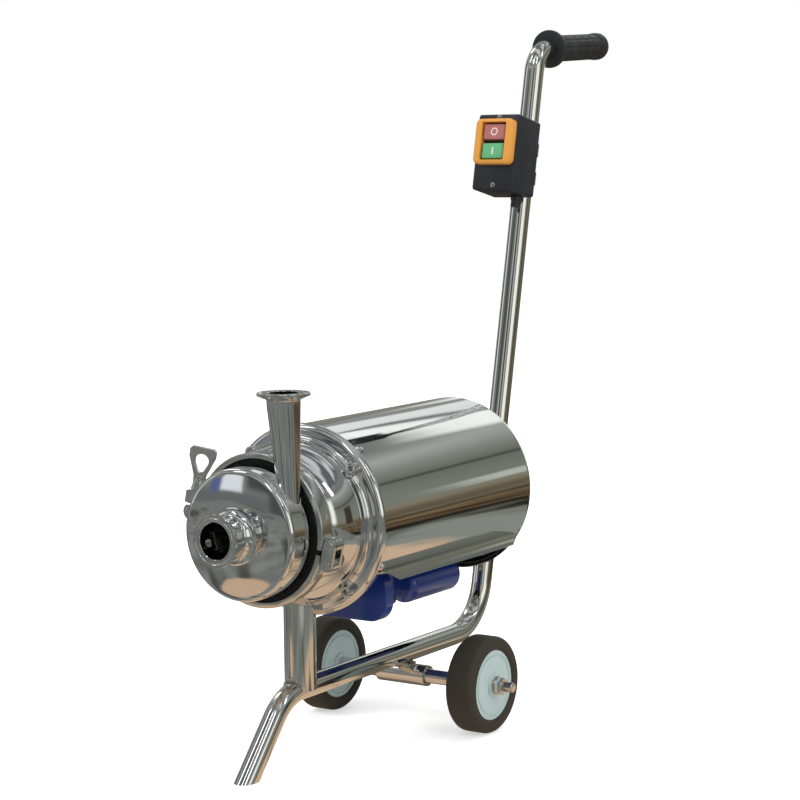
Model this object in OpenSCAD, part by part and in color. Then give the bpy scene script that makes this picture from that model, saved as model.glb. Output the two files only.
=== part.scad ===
// Sanitary centrifugal pump on a two-wheeled hand cart, in millimetres.
// +Z is up, the inlet looks along -Y, and the origin lies on the floor under the middle of the cart.
// Stations along Y are counted from the face of the inlet ferrule and shifted once, in cart_frame().

/* [Nozzles] */
// Outside diameter of the clamp ferrules on both nozzles
ferrule_d = 50.5; // [48:0.5:54]
// Thickness of the ferrule rim at its edge
ferrule_rim_t = 2.85; // [2.5:0.05:3.5]
// Bore of the inlet nozzle
inlet_bore_d = 35; // [32:0.5:36]
// Bore of the outlet ferrule
outlet_bore_d = 29; // [26:0.5:31]
// Wall of the nozzles
nozzle_t = 1.5; // [1.2:0.1:2]
// Flare radius where the inlet nozzle runs into the bowl
inlet_flare_r = 10; // [8:0.5:12]
// Height of the outlet face above the floor
outlet_z = 374; // [365:1:385]
// Straight length of the outlet ferrule
outlet_ferrule_l = 12; // [10:0.5:15]
// Distance of the discharge pipe's axis in from the bowl's side
outlet_inset = 16.5; // [15.5:0.5:18]
// Distance of the discharge pipe's axis in front of the bowl's joint flange
outlet_set_back = 16.25; // [15:0.25:19]
// Outside radius of the discharge pipe where it leaves the bowl
discharge_base_r = 8.75; // [8:0.25:9.5]
// Lean of the discharge pipe towards the middle
discharge_lean = 3; // [2:0.25:4]

/* [Casing] */
// Height of the pump and motor axis above the floor
axis_z = 238.5; // [232:0.5:246]
// Outside radius of the drawn bowl
casing_r = 63.75; // [62:0.25:66]
// Wall of the bowl
casing_t = 2; // [1.5:0.25:2.5]
// Rounding of the bowl's front edge
casing_edge_r = 6; // [4:0.5:9]
// Distance from the inlet face to the bowl's front plane
casing_front_y = 34; // [32:0.5:38]
// Swell of the bowl's face towards the inlet
casing_face_rise = 4; // [2:0.5:6]
// Straight length of the bowl's wall
casing_wall_l = 31.5; // [28:0.5:34]
// Height of the joint flanges above the bowl's wall
flange_h = 7.25; // [6.5:0.25:8]
// Thickness of the bowl's joint flange
casing_flange_t = 3.25; // [3:0.25:5]
// Thickness of the back plate
plate_t = 3.5; // [3:0.25:5]
// Thickness of the rubber gasket
gasket_t = 2; // [1.5:0.25:3]

/* [Clamp] */
// Thickness of the clamp ring's lips
clamp_lip_t = 2.5; // [2:0.25:3.5]
// Depth of the clamp ring outside its groove
clamp_wall_t = 2.8; // [2.5:0.1:4]
// Overlap of the lips on the flanges
clamp_grip = 1.5; // [1:0.25:2.5]
// Gap between the clamp halves
clamp_gap = 5; // [4:0.5:8]
// Turn of the clamp about the pump axis
clamp_roll = 12; // [8:1:16]
// Distance of the swing bolt from the pump axis
bolt_x = 83; // [82.5:0.5:86]
// Radius of the swing bolt's shank
bolt_r = 4; // [3.5:0.25:4.5]
// Distance from the bolt's pivot to the nut's seat
bolt_seat_l = 21.5; // [20:0.5:24]
// Height of the wing nut's loop
loop_h = 33; // [30:1:38]
// Width of the wing nut's loop
loop_w = 26; // [24:0.5:27]

/* [Impeller and seal] */
// Radius of the impeller
impeller_r = 52; // [46:0.5:54]
// Number of impeller blades
blade_count = 6; // [4:1:8]
// Thickness of an impeller blade
blade_t = 3; // [2:0.25:4]
// Thickness of the impeller's back shroud
shroud_t = 3; // [2.5:0.25:4]
// Radius of the pump spindle
spindle_r = 8; // [7:0.25:9]

/* [Adapter] */
// Length of the adapter bell between the clamp and its flange
bell_l = 53.75; // [48:0.25:58]
// Outside radius of the bell behind the clamp
bell_front_r = 73; // [71:0.5:76]
// Outside radius of the bell at its flange
bell_rear_r = 80; // [78:0.5:81]
// Swell of the bell between its ends
bell_swell = 3.5; // [1:0.5:5]
// Wall of the bell
bell_t = 5; // [4:0.5:6]
// Rounding of the adapter flange's front edge
rim_round = 7; // [3:0.5:7]
// How far the adapter's flange stands out past the hood
adapter_lap = 2.3; // [1.5:0.1:4]
// Thickness of the adapter's flange
adapter_flange_t = 8; // [7:0.5:11]
// Distance of the flange screws inside the rim of the motor's flange
screw_edge = 5.9; // [5.9:0.1:6.2]

/* [Motor] */
// Inside radius of the motor barrel
barrel_r = 64.5; // [63.5:0.5:65]
// Wall of the motor barrel
barrel_t = 5.5; // [5:0.5:6]
// Height of the cooling fins
fin_h = 5; // [4:0.5:6]
// Length of the motor barrel
barrel_l = 187; // [180:1:200]
// Thickness of the motor's front flange
motor_flange_t = 12; // [10:0.5:14]
// Radius of the motor shaft at its bearings
journal_r = 10; // [9.5:0.25:11]
// Length of the stator core
stator_l = 110; // [100:1:120]
// Radius of the rotor core
rotor_r = 40; // [38:0.5:42]
// Radius of the cooling fan
fan_r = 64; // [58:0.5:68]
// Number of fan blades
fan_blades = 8; // [6:1:10]
// Radius of the capacitor cover
capacitor_r = 18.5; // [17:0.5:19.5]
// Length of the capacitor cover
capacitor_l = 92; // [80:1:96]
// Width of the terminal box lid
lid_w = 92; // [86:1:94]
// Lowest level of the terminal box lid above the floor
lid_z = 130; // [126:0.5:134]

/* [Hood] */
// Outside radius of the motor hood
hood_r = 92.7; // [92.5:0.1:93.4]
// Sheet thickness of the hood
hood_t = 1.2; // [1:0.1:1.4]
// Gap between the adapter's flange and the hood
hood_gap = 0.5; // [0.5:0.5:4]
// Length of the hood's wrapped sheet
hood_l = 273.5; // [264:0.5:288]
// Rounding of the hood's rear edge
hood_edge_r = 12; // [9:0.5:16]
// Angle below the horizontal where the hood's sheet ends
hood_drop = 32; // [29:0.5:36]
// Width of the hood's flared lips
hood_lip_w = 17.5; // [14:0.5:20]
// Slope of the hood's flared lips
hood_lip_a = 18; // [14:1:26]
// Distance of the lips' front ends behind the hood's front edge
hood_lip_back = 20; // [14:0.5:28]
// Length of the slanting cut at the lips' rear corners
hood_lip_cut = 36; // [10:1:60]

/* [Cart] */
// Outside radius of the cart's tube
tube_r = 11; // [10:0.25:12]
// Wall of the cart's tube
tube_t = 1.5; // [1.2:0.1:2]
// Station of the foot's middle on the floor
foot_y = 42; // [36:1:50]
// Slope of the foot
foot_a = 49; // [45:1:54]
// Bend radius above the foot
foot_bend_r = 58; // [50:1:62]
// Station where the spine and the upright would cross
heel_y = 464; // [455:1:475]
// Bend radius at the heel
heel_bend_r = 62; // [52:1:70]
// Lean of the upright
lean = 12.3; // [10:0.1:14]
// Height of the handle's bend
crown_z = 706; // [690:1:720]
// Bend radius below the handle
crown_bend_r = 33; // [30:1:34]
// Rise of the handle
grip_a = 3.2; // [1:0.2:5]
// Outside radius of the support post
post_r = 16; // [14:0.5:17]
// Station of the support post
post_y = 132; // [130:0.5:134]
// Wall of the support post
post_t = 2; // [1.5:0.1:3]

/* [Wheels] */
// Radius of the wheels
wheel_r = 50; // [48:0.5:54]
// Width of the wheels
wheel_w = 32; // [28:0.5:36]
// Distance of each wheel's middle from the middle of the cart
wheel_x = 95.6; // [90:0.2:100]
// Station of the axle
axle_y = 317.5; // [300:0.5:330]
// Length of the sleeve that holds the axle under the spine
sleeve_l = 58; // [50:1:76]
// Outside radius of the axle's sleeve
cross_r = 11; // [10.5:0.25:12]
// Wall of the axle's sleeve
cross_t = 1.5; // [1.2:0.1:2]
// Radius of the axle rod
axle_r = 5; // [4.5:0.25:6]
// Thread that stands out of the axle nuts
axle_tail = 11.6; // [8:0.2:14]
// Radius of the wheel's hub disc
hub_r = 36; // [33:0.5:38]

/* [Grip] */
// Length of the rubber grip
grip_l = 121; // [105:1:130]
// Outside radius of the rubber grip
grip_r = 14.3; // [13.6:0.1:15]
// Radius of the grip's hand stop
grip_stop_r = 21.5; // [19:0.5:24]

/* [Switch] */
// Width of the switch box
box_w = 52; // [51:0.5:60]
// Height of the switch box
box_h = 84; // [80:0.5:96]
// Depth of the switch box
box_d = 47; // [44:0.5:54]
// Height of the box's middle on the upright
box_z = 579; // [540:1:600]
// Distance between the tube and the box
bracket_t = 6.5; // [5:0.5:8]
// Width of the switch bezel
bezel_w = 47; // [45:0.5:49]
// Height of the switch bezel
bezel_h = 50; // [47:0.5:54]
// Distance that the bezel stands out of the box
bezel_t = 10; // [8:0.5:12]
// Width of the push buttons
button_w = 27; // [24:0.5:29]
// Height of each push button
button_h = 17; // [15:0.5:18]
// Travel of the push buttons
button_travel = 3; // [2:0.25:4]

/* [Hidden] */
$fn = 64;
// Overshoot of cutting tools
cut = 1;
// Clearance of a running shaft in its bearing
run_c = 0.05;
// Clearance of pieces that are fitted and stay
fit_c = 0.02;
// Clearance between moving pieces
move_c = 0.3;
// Reach of half-space tools
far = 2000;

// Stations of the pump head
face_y = casing_front_y - casing_face_rise;
wall_y = casing_front_y + casing_edge_r;
flange_y = wall_y + casing_wall_l;
gasket_lip_y = flange_y - gasket_t;
clamp_y = gasket_lip_y - clamp_lip_t;
joint_y = flange_y + casing_flange_t;
plate_y = joint_y + gasket_t;
plate_back_y = plate_y + plate_t;
clamp_end_y = plate_back_y + clamp_lip_t;
bell_gap = 1.5;
bell_round = 5;
bell_lip_c = 0.5;
bell_y = clamp_end_y + bell_gap;
adapter_flange_y = bell_y + bell_l;
motor_y = adapter_flange_y + adapter_flange_t;

// Radii of the pump head
inlet_r = inlet_bore_d / 2 + nozzle_t;
flare_r = inlet_r + inlet_flare_r;
outlet_r = outlet_bore_d / 2 + nozzle_t;
flange_r = casing_r + flange_h;
gasket_r = flange_r + 1;
clamp_groove_r = gasket_r + 0.2;
clamp_r = clamp_groove_r + clamp_wall_t;
clamp_lip_r = flange_r - clamp_grip;
ferrule_taper = tan(20);
ferrule_groove_r = ferrule_d / 2 - 3.5;
ferrule_groove_w = 1.6;
ferrule_groove_t = 1.2;

// Discharge pipe
outlet_x = casing_r - outlet_inset;
outlet_y = flange_y - outlet_set_back;
discharge_base_z = 15;
discharge_top_z = outlet_z - outlet_ferrule_l - axis_z;
outlet_top_x = outlet_x - (discharge_top_z - discharge_base_z) * tan(discharge_lean);
discharge_l = (discharge_top_z - discharge_base_z) / cos(discharge_lean);

// Clamp lugs and swing bolt
clamp_w = clamp_end_y - clamp_y;
clamp_mid_y = (clamp_y + clamp_end_y) / 2;
pivot_z = -5.5;
pivot_pin_r = 3;
eye_r = 6;
eye_w = 9;
shank_z = pivot_pin_r + 0.6;
lug_r = 8;
lug_slot_w = 2 * bolt_r + 1;
lug_w = clamp_w;
nut_r = 7;
nut_h = 9;
nut_z = pivot_z + bolt_seat_l + move_c;
loop_t = 5;
loop_bar = 6;
loop_neck = 5;
loop_top = nut_h + loop_h;
loop_hole_r = loop_w / 2 - loop_bar;
loop_tip_r = 3.2;
loop_turn = 24;
lower_ear_r = 16;
upper_ear_r = 4;
hinge_x = clamp_r + 7;
hinge_z = 9.5;
hinge_r = 7;
hinge_pin_r = 3;
link_t = 3;

// Shaft, impeller and seal
spindle_y = 48;
nose_r = 5;
nose_l = 11;
nut_dome_l = 13;
blade_front_gap = 2.5;
blade_y = casing_front_y + casing_t + blade_front_gap;
shroud_gap = 4;
shroud_y = plate_y - shroud_gap - shroud_t;
hub_back_y = shroud_y + shroud_t + 1;
impeller_hub_r = 13;
blade_eye_r = 21;
blade_tip_r = impeller_r - 0.6;
blade_root = 1;
blade_bow_r = 46;
seal_cup_r = 20;
seal_cup_t = 4;
seal_cup_l = 16;
seal_cup_y = plate_back_y + seal_cup_l;
seal_seat_t = 5;
seal_ring_t = 5.5;
seal_ring_r = 15;
seal_seat_y = seal_cup_y - seal_seat_t;
seal_ring_y = seal_seat_y - move_c - seal_ring_t;
coupling_y = seal_cup_y + seal_cup_t + 3;
coupling_r = 16;
coupling_l = 36;
motor_nose_r = journal_r - 0.5;
motor_nose_y = coupling_y + 3;

// Motor
spigot_r = 62;
spigot_l = 4;
flange_fit_c = 0.1;
motor_flange_r = hood_r - hood_t - flange_fit_c;
adapter_r = hood_r + adapter_lap;
flange_screw_pr = motor_flange_r - screw_edge;
barrel_y = motor_y + motor_flange_t;
barrel_end_y = barrel_y + barrel_l;
barrel_or = barrel_r + barrel_t;
shield_t = 12;
shield_end_y = barrel_end_y + shield_t;
bearing_r = 23.5;
bearing_w = 14;
bearing_wall = 6.5;
front_bearing_y = motor_y + 6;
rear_bearing_y = shield_end_y - 6 - bearing_w;
shoulder_r = journal_r + 2;
core_y = (barrel_y + barrel_end_y - stator_l) / 2;
air_gap = 0.5;
coil_l = 14;
fan_shaft_r = 8;
fan_gap = 8;
fan_w = 18;
fan_y = shield_end_y + fan_gap;
fin_count = 40;
fin_t = 2.4;
fin_skip_from = 220;
fin_skip_to = 320;
screw_r = 3;
screw_head_r = 5.5;
screw_head_h = 8;
spot_c = 0.3;
spot_l = 4;
flange_screw_turn = -4;
nut_af_r = 5.7;
nut_t = 5;

// Terminal box and capacitor
lid_y = 200;
lid_t = 14;
lid_x = 10.5;
lid_corner_r = 20;
terminal_z = lid_z + 7;
terminal_w = 70;
terminal_l = 26;
terminal_y = lid_y + lid_t;
terminal_corner_r = 8;
capacitor_x = 22;
terminal_x = 4;
capacitor_gap = 36;
capacitor_drop = 17;
capacitor_nose_r = 9;
capacitor_tail_r = 5;
saddle_l = 40;
saddle_x = 16;
capacitor_y = terminal_y + terminal_l + capacitor_gap;
capacitor_z = axis_z - barrel_or - capacitor_drop;
gland_r = 5;
gland_h = 11;
gland_x = terminal_x + terminal_w / 2 - 9;

// Hood
hood_y = motor_y + hood_gap;
hood_cap_y = hood_y + hood_l;
hood_screw_y = (hood_y + barrel_y) / 2;
hood_screw_angles = [50, 118, -26, 206];
hood_screw_r = 2.1;
hood_drill = 10;
hood_screw_head_r = 4.4;
hood_screw_head_h = 2.8;

// Cart
spine_z = wheel_r + cross_r + tube_r;
foot_corner_y = foot_y + spine_z / tan(foot_a);
upright_z = crown_z - spine_z;
crown_y = heel_y + upright_z * tan(lean);
foot_tangent = foot_bend_r * tan(foot_a / 2);
heel_turn = 90 - lean;
heel_tangent = heel_bend_r * tan(heel_turn / 2);
crown_turn = 90 - lean - grip_a;
crown_tangent = crown_bend_r * tan(crown_turn / 2);
grip_y0 = crown_tangent + 1;
grip_cap_t = 4;
bend_lap = 0.5;
bend_swell = 0.15;
handle_l = grip_y0 + grip_l - grip_cap_t;
grip_end_r = grip_r + 1.4;
grip_round = 7;
overall_l = crown_y + (grip_y0 + grip_l - grip_round) * cos(grip_a)
    + (grip_end_r - grip_round) * sin(grip_a) + grip_round;
grip_stop_t = 6;
rib_count = 22;
rib_h = 0.5;
rib_rest = 8;

// Wheels
boss_r = 12;
plug_l = 18;
plug_collar_r = 7.5;
rim_w = 27;
groove_w = 2.4;
groove_d = 1.2;
tyre_edge_r = 7;
washer_r = 10;
washer_t = 1.6;
axle_nut_r = 9.2;
axle_nut_t = 8;
wheel_in_x = wheel_x - wheel_w / 2;
wheel_out_x = wheel_x + wheel_w / 2;
washer_x = wheel_out_x + move_c;
axle_nut_x = washer_x + washer_t;
axle_end_x = axle_nut_x + axle_nut_t + axle_tail;
cross_x = sleeve_l / 2;

// Switch box, in a frame on the upright with local -Y forward and local Z along the tube
box_s = (box_z - spine_z) / cos(lean);
box_back = tube_r + bracket_t;
box_front = box_back + box_d;
box_corner_r = 3;
box_wall = 2.5;
base_d = 9;
bezel_up = box_h / 2 - bezel_h / 2 - 6.5;
bezel_corner_r = 5;
bezel_flange_t = 2;
well_w = button_w + 3.4;
well_h = 2 * button_h + 8;
button_gap = 4.2;
button_recess = 2.5;
button_l = 14;
cover_t = 1.2;
block_d = 16;
block_back = 18;
saddle_w = 34;
saddle_h = 52;
clip_t = 3;
clip_w = 14;
clip_s = 16;
box_gland_r = 7;
box_gland_x = 9;
box_gland_l = 12;
box_screw_r = 3;

// Points of an arc about c from angle a0 to a1
function arc(c, r, a0, a1, n = 8) =
    [for (i = [0:n]) let (a = a0 + (a1 - a0) * i / n) [c[0] + r * cos(a), c[1] + r * sin(a)]];

// Half profile of a clamp ferrule with its gasket groove, from the bore to the tube's outside
function ferrule_front(bore_r, tube_r) = [
    [bore_r, 0],
    [ferrule_groove_r - ferrule_groove_w, 0],
    [ferrule_groove_r - ferrule_groove_w, ferrule_groove_t],
    [ferrule_groove_r + ferrule_groove_w, ferrule_groove_t],
    [ferrule_groove_r + ferrule_groove_w, 0],
    [ferrule_d / 2, 0],
    [ferrule_d / 2, ferrule_rim_t],
    [tube_r, ferrule_rim_t + (ferrule_d / 2 - tube_r) * ferrule_taper]];

// Moves stations counted from the inlet face to the cart's own origin
module cart_frame() {
    translate([0, -overall_l / 2, 0]) children();
}

// Frame on the pump axis
module head_frame() {
    cart_frame() translate([0, 0, axis_z]) children();
}

// Turns a revolve about Z into one about the pump axis, with heights as stations
module spin_y() {
    rotate([-90, 0, 0]) children();
}

// Revolved half profile of [radius, station] points on the pump axis
module turned(points) {
    head_frame() spin_y() rotate_extrude() polygon(points);
}

// Plain ring on the pump axis
module turned_ring(r_in, r_out, y0, y1) {
    turned([[r_in, y0], [r_out, y0], [r_out, y1], [r_in, y1]]);
}

// Extrudes a shape drawn in X and Z between two stations
module extrude_y(y0, y1) {
    translate([0, y1, 0]) rotate([90, 0, 0]) linear_extrude(y1 - y0) children();
}

// Cylinder along Y between two stations
module rod_y(r, y0, y1) {
    translate([0, y0, 0]) rotate([-90, 0, 0]) cylinder(r = r, h = y1 - y0);
}

// Rectangle about the origin with round corners
module round_rect(w, h, r) {
    square([w - 2 * r, h], center = true);
    square([w, h - 2 * r], center = true);
    for (x = [-1, 1])
        for (y = [-1, 1])
            translate([x * (w / 2 - r), y * (h / 2 - r)]) circle(r);
}

// Hexagonal nut along Z with a bore
module hex_nut(r, h, bore_r) {
    difference() {
        cylinder(r = r, h = h, $fn = 6);
        translate([0, 0, -cut]) cylinder(r = bore_r, h = h + 2 * cut);
    }
}

// Pump head

module inlet_nozzle() {
    bore_r = inlet_bore_d / 2;
    outer_flare = arc([flare_r, face_y - inlet_flare_r], inlet_flare_r, 180, 90);
    inner_flare = arc([flare_r, face_y - inlet_flare_r], inlet_flare_r + nozzle_t, 90, 180);
    color("silver")
        turned(concat(ferrule_front(bore_r, inlet_r), outer_flare, inner_flare));
}

// Cone of the discharge pipe, grown by a wall, along its leaning axis
module discharge_cone(grow) {
    translate([outlet_x, outlet_y, discharge_base_z]) rotate([0, -discharge_lean, 0])
        translate([0, 0, -cut]) cylinder(
            r1 = discharge_base_r + grow, r2 = outlet_r + grow, h = discharge_l + 2 * cut);
}

module pump_casing() {
    edge = [casing_r - casing_edge_r, wall_y];
    outer_edge = arc(edge, casing_edge_r, -90, 0);
    inner_edge = arc(edge, casing_edge_r - casing_t, 0, -90);
    color("silver") difference() {
        turned(concat(
            [[flare_r, face_y]], outer_edge,
            [[casing_r, flange_y], [flange_r, flange_y], [flange_r, joint_y], [casing_r - casing_t, joint_y]],
            inner_edge, [[flare_r, face_y + casing_t]]));
        head_frame() discharge_cone(-nozzle_t);
    }
}

module discharge_pipe() {
    color("silver") head_frame() difference() {
        discharge_cone(0);
        discharge_cone(-nozzle_t);
        rod_y(casing_r, wall_y - casing_edge_r, clamp_end_y);
        translate([-far / 2, -far / 2, discharge_top_z]) cube(far);
    }
}

module outlet_ferrule() {
    color("silver") cart_frame() translate([outlet_top_x, outlet_y, outlet_z]) mirror([0, 0, 1])
        rotate_extrude() polygon(concat(ferrule_front(outlet_bore_d / 2, outlet_r),
            [[outlet_r, outlet_ferrule_l], [outlet_bore_d / 2, outlet_ferrule_l]]));
}

module casing_gasket() {
    lip_in_r = casing_r + fit_c;
    color("dimgray") turned([
        [casing_r - casing_t, joint_y], [flange_r + fit_c, joint_y], [flange_r + fit_c, flange_y],
        [lip_in_r, flange_y], [lip_in_r, gasket_lip_y], [gasket_r, gasket_lip_y], [gasket_r, plate_y],
        [casing_r - casing_t, plate_y]]);
}

module back_plate() {
    cup_or = seal_cup_r + seal_cup_t;
    color("silver") turned([
        [seal_cup_r, plate_y], [flange_r, plate_y], [flange_r, plate_back_y], [cup_or, plate_back_y],
        [cup_or, seal_cup_y + seal_cup_t], [spindle_r + 2, seal_cup_y + seal_cup_t],
        [spindle_r + 2, seal_cup_y], [seal_cup_r, seal_cup_y]]);
}

// Clamp

// Frame of the clamp, turned about the pump axis
module clamp_frame() {
    head_frame() rotate([0, clamp_roll, 0]) children();
}

// One half of the channelled clamp ring; side is 1 for the upper half and -1 for the lower one
module clamp_half_ring(side) {
    intersection() {
        spin_y() rotate_extrude() polygon([
            [clamp_lip_r, clamp_y], [clamp_r - 1, clamp_y], [clamp_r, clamp_y + 1],
            [clamp_r, clamp_end_y - 1], [clamp_r - 1, clamp_end_y], [clamp_lip_r, clamp_end_y],
            [clamp_lip_r, plate_back_y], [clamp_groove_r, plate_back_y], [clamp_groove_r, gasket_lip_y],
            [clamp_lip_r, gasket_lip_y]]);
        translate([-far / 2, -far / 2, side > 0 ? clamp_gap / 2 : -far - clamp_gap / 2]) cube(far);
    }
}

// Centre of the fillet that touches the ring and the round of a hinge eye below it
function ear_fillet(eye, r) =
    let (reach = clamp_r + r, span = norm(eye), gap = hinge_r + r,
        turn = acos((span * span + reach * reach - gap * gap) / (2 * span * reach)),
        base = atan2(eye[1], eye[0]))
    reach * [cos(base - turn), sin(base - turn)];

// Hinge ear of the lower half, which swings out of the ring in a fillet, with room for the links beside it
module hinge_ear(fillet_r) {
    eye = [hinge_x, -hinge_z];
    f = ear_fillet(eye, fillet_r);
    inner_y = hinge_r - hinge_z;
    difference() {
        extrude_y(clamp_y + link_t + move_c, clamp_end_y - link_t - move_c) difference() {
            union() {
                translate(eye) circle(hinge_r);
                polygon(concat([[hinge_x, inner_y], [clamp_groove_r, inner_y], clamp_groove_r / norm(f) * f],
                    arc(f, fillet_r, atan2(-f[1], -f[0]), atan2(eye[1] - f[1], eye[0] - f[0]))));
            }
            circle(clamp_groove_r + 1);
        }
        translate([hinge_x, 0, -hinge_z]) rod_y(hinge_pin_r + fit_c, clamp_y - cut, clamp_end_y + cut);
    }
}

// Clearance in the ring for the hinge links
module link_room() {
    for (y = [clamp_y - cut, clamp_end_y - link_t - move_c])
        extrude_y(y, y + link_t + move_c + cut) hull_link(hinge_r + 1);
}

// Outline of a hinge link, round at both pins
module hull_link(r) {
    translate([hinge_x, 0]) square([2 * r, 2 * hinge_z], center = true);
    for (side = [-1, 1])
        translate([hinge_x, side * hinge_z]) circle(r);
}

module clamp_upper_half() {
    lug_top = pivot_z + bolt_seat_l;
    color("gainsboro") difference() {
        clamp_frame() difference() {
            union() {
                clamp_half_ring(1);
                mirror([0, 0, 1]) hinge_ear(upper_ear_r);
                intersection() {
                    extrude_y(clamp_y, clamp_end_y) difference() {
                        polygon([[-bolt_x - lug_r, clamp_gap / 2], [-bolt_x - lug_r, lug_top + cut],
                            [-clamp_groove_r + 4, lug_top + cut], [-clamp_groove_r + 2, clamp_gap / 2]]);
                        circle(clamp_groove_r + 1);
                    }
                    translate([-bolt_x, 0, pivot_z]) rod_y(bolt_seat_l, clamp_y - cut, clamp_end_y + cut);
                }
            }
            translate([-bolt_x - far + bolt_r + 0.5, clamp_mid_y - lug_slot_w / 2, -far / 2])
                cube([far, lug_slot_w, far]);
            link_room();
        }
        head_frame() discharge_cone(spot_c);
    }
}

module clamp_lower_half() {
    color("gainsboro") clamp_frame() difference() {
        union() {
            clamp_half_ring(-1);
            hinge_ear(lower_ear_r);
            extrude_y(clamp_y, clamp_end_y) difference() {
                union() {
                    translate([-bolt_x, pivot_z]) circle(lug_r);
                    polygon([[-bolt_x, 0], [-clamp_groove_r + 2, 0],
                        [-clamp_groove_r + 4, pivot_z - lug_r - 9], [-bolt_x, pivot_z - lug_r]]);
                }
                circle(clamp_groove_r + 1);
                translate([-far / 2, 0]) square(far);
            }
        }
        translate([-bolt_x - far + eye_r + 1, clamp_mid_y - eye_w / 2 - move_c, -far / 2])
            cube([far, eye_w + 2 * move_c, far]);
        translate([-bolt_x, 0, pivot_z]) rod_y(pivot_pin_r + fit_c, clamp_y - cut, clamp_end_y + cut);
        link_room();
    }
}

module clamp_hinge_links() {
    color("silver") clamp_frame()
        for (y = [clamp_y, clamp_end_y - link_t])
            difference() {
                extrude_y(y, y + link_t) hull_link(hinge_r - 0.5);
                for (side = [-1, 1])
                    translate([hinge_x, 0, side * hinge_z])
                        rod_y(hinge_pin_r + fit_c, y - cut, y + link_t + cut);
            }
}

// Headed pin through both faces of the clamp
module clamp_pin(x, z, r) {
    head_t = 1.5;
    translate([x, 0, z]) {
        rod_y(r, clamp_y - head_t, clamp_end_y + head_t);
        rod_y(r + head_t, clamp_y - head_t, clamp_y);
        rod_y(r + head_t, clamp_end_y, clamp_end_y + head_t);
    }
}

module clamp_pins() {
    color("silver") clamp_frame() {
        for (side = [-1, 1])
            clamp_pin(hinge_x, side * hinge_z, hinge_pin_r);
        clamp_pin(-bolt_x, pivot_z, pivot_pin_r);
    }
}

module swing_bolt() {
    color("silver") clamp_frame() translate([-bolt_x, clamp_mid_y, pivot_z]) difference() {
        union() {
            rod_y(eye_r, -eye_w / 2, eye_w / 2);
            translate([0, 0, shank_z]) cylinder(r = bolt_r, h = bolt_seat_l + nut_h + 4 - shank_z);
        }
        rod_y(pivot_pin_r + run_c, -eye_w, eye_w);
    }
}

// Nut with a closed finger loop standing on it
// Drop-shaped finger hole of the loop nut
module loop_hole() {
    wide = [0, loop_top - loop_bar - loop_hole_r];
    narrow = [0, nut_h + loop_neck + loop_bar / 2 + loop_tip_r];
    tilt = asin((loop_hole_r - loop_tip_r) / (wide[1] - narrow[1]));
    polygon(concat(arc(wide, loop_hole_r, -tilt, 180 + tilt, 20), arc(narrow, loop_tip_r, 180 + tilt, 360 - tilt)));
}

module wing_nut() {
    color("silver") clamp_frame() translate([-bolt_x, clamp_mid_y, nut_z]) rotate([0, 0, loop_turn])
        difference() {
            union() {
                cylinder(r1 = nut_r, r2 = nut_r - 1.5, h = nut_h);
                translate([0, -loop_t / 2, 0]) extrude_y(0, loop_t) difference() {
                    polygon([[1.5 - nut_r, 1], [nut_r - 1.5, 1], [nut_r - 1, nut_h + loop_neck],
                        [loop_w / 2, loop_top - 9], [loop_w / 2, loop_top - 2], [loop_w / 2 - 2, loop_top],
                        [2 - loop_w / 2, loop_top], [-loop_w / 2, loop_top - 2], [-loop_w / 2, loop_top - 9],
                        [1 - nut_r, nut_h + loop_neck]]);
                    loop_hole();
                }
            }
            translate([0, 0, -cut]) cylinder(r = bolt_r + run_c, h = nut_h + 6);
        }
}

// Rotating parts of the pump

module impeller() {
    color("silver") {
        turned([[spindle_r + fit_c, spindle_y], [impeller_hub_r - 2, spindle_y],
            [impeller_hub_r, shroud_y - 6], [impeller_hub_r + 5, shroud_y], [impeller_r, shroud_y],
            [impeller_r, shroud_y + shroud_t], [impeller_hub_r, shroud_y + shroud_t],
            [impeller_hub_r, hub_back_y], [spindle_r + fit_c, hub_back_y]]);
        head_frame() spin_y() translate([0, 0, blade_y]) linear_extrude(shroud_y + blade_root - blade_y)
            for (i = [0:blade_count - 1])
                rotate(360 * i / blade_count) blade_outline();
    }
}

// One backward-curved blade between the impeller's eye and its rim
module blade_outline() {
    bow_x = (blade_eye_r + blade_tip_r) / 2;
    intersection() {
        translate([bow_x, -blade_bow_r]) difference() {
            circle(blade_bow_r);
            circle(blade_bow_r - blade_t);
        }
        difference() {
            circle(blade_tip_r);
            circle(blade_eye_r);
        }
        translate([0, -impeller_r]) square([impeller_r, 2 * impeller_r]);
    }
}

module impeller_nut() {
    dome_r = nose_r + 4;
    hex_l = 7;
    color("silver") head_frame() spin_y() translate([0, 0, spindle_y - nut_dome_l]) difference() {
        union() {
            translate([0, 0, nut_dome_l - hex_l]) cylinder(r = dome_r, h = hex_l, $fn = 6);
            cylinder(r1 = 4, r2 = dome_r * cos(30), h = nut_dome_l - hex_l);
        }
        translate([0, 0, nut_dome_l - nose_l]) cylinder(r = nose_r + fit_c, h = nose_l + cut);
    }
}

module seal_bellows() {
    fold_count = 3;
    fold_l = (seal_ring_y - hub_back_y) / fold_count;
    outer_r = 16;
    fold_h = 2.5;
    color("dimgray") turned(concat(
        [[spindle_r + fit_c, hub_back_y]],
        [for (i = [0:fold_count - 1]) each [
            [outer_r - fold_h, hub_back_y + i * fold_l],
            [outer_r, hub_back_y + (i + 0.5) * fold_l]]],
        [[outer_r - fold_h, seal_ring_y], [spindle_r + fit_c, seal_ring_y]]));
}

module seal_ring() {
    color("darkslategray")
        turned_ring(spindle_r + fit_c, seal_ring_r, seal_ring_y, seal_ring_y + seal_ring_t);
}

module seal_seat() {
    color("ivory") turned_ring(spindle_r + 2, seal_cup_r - fit_c, seal_seat_y, seal_cup_y);
}

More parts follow.
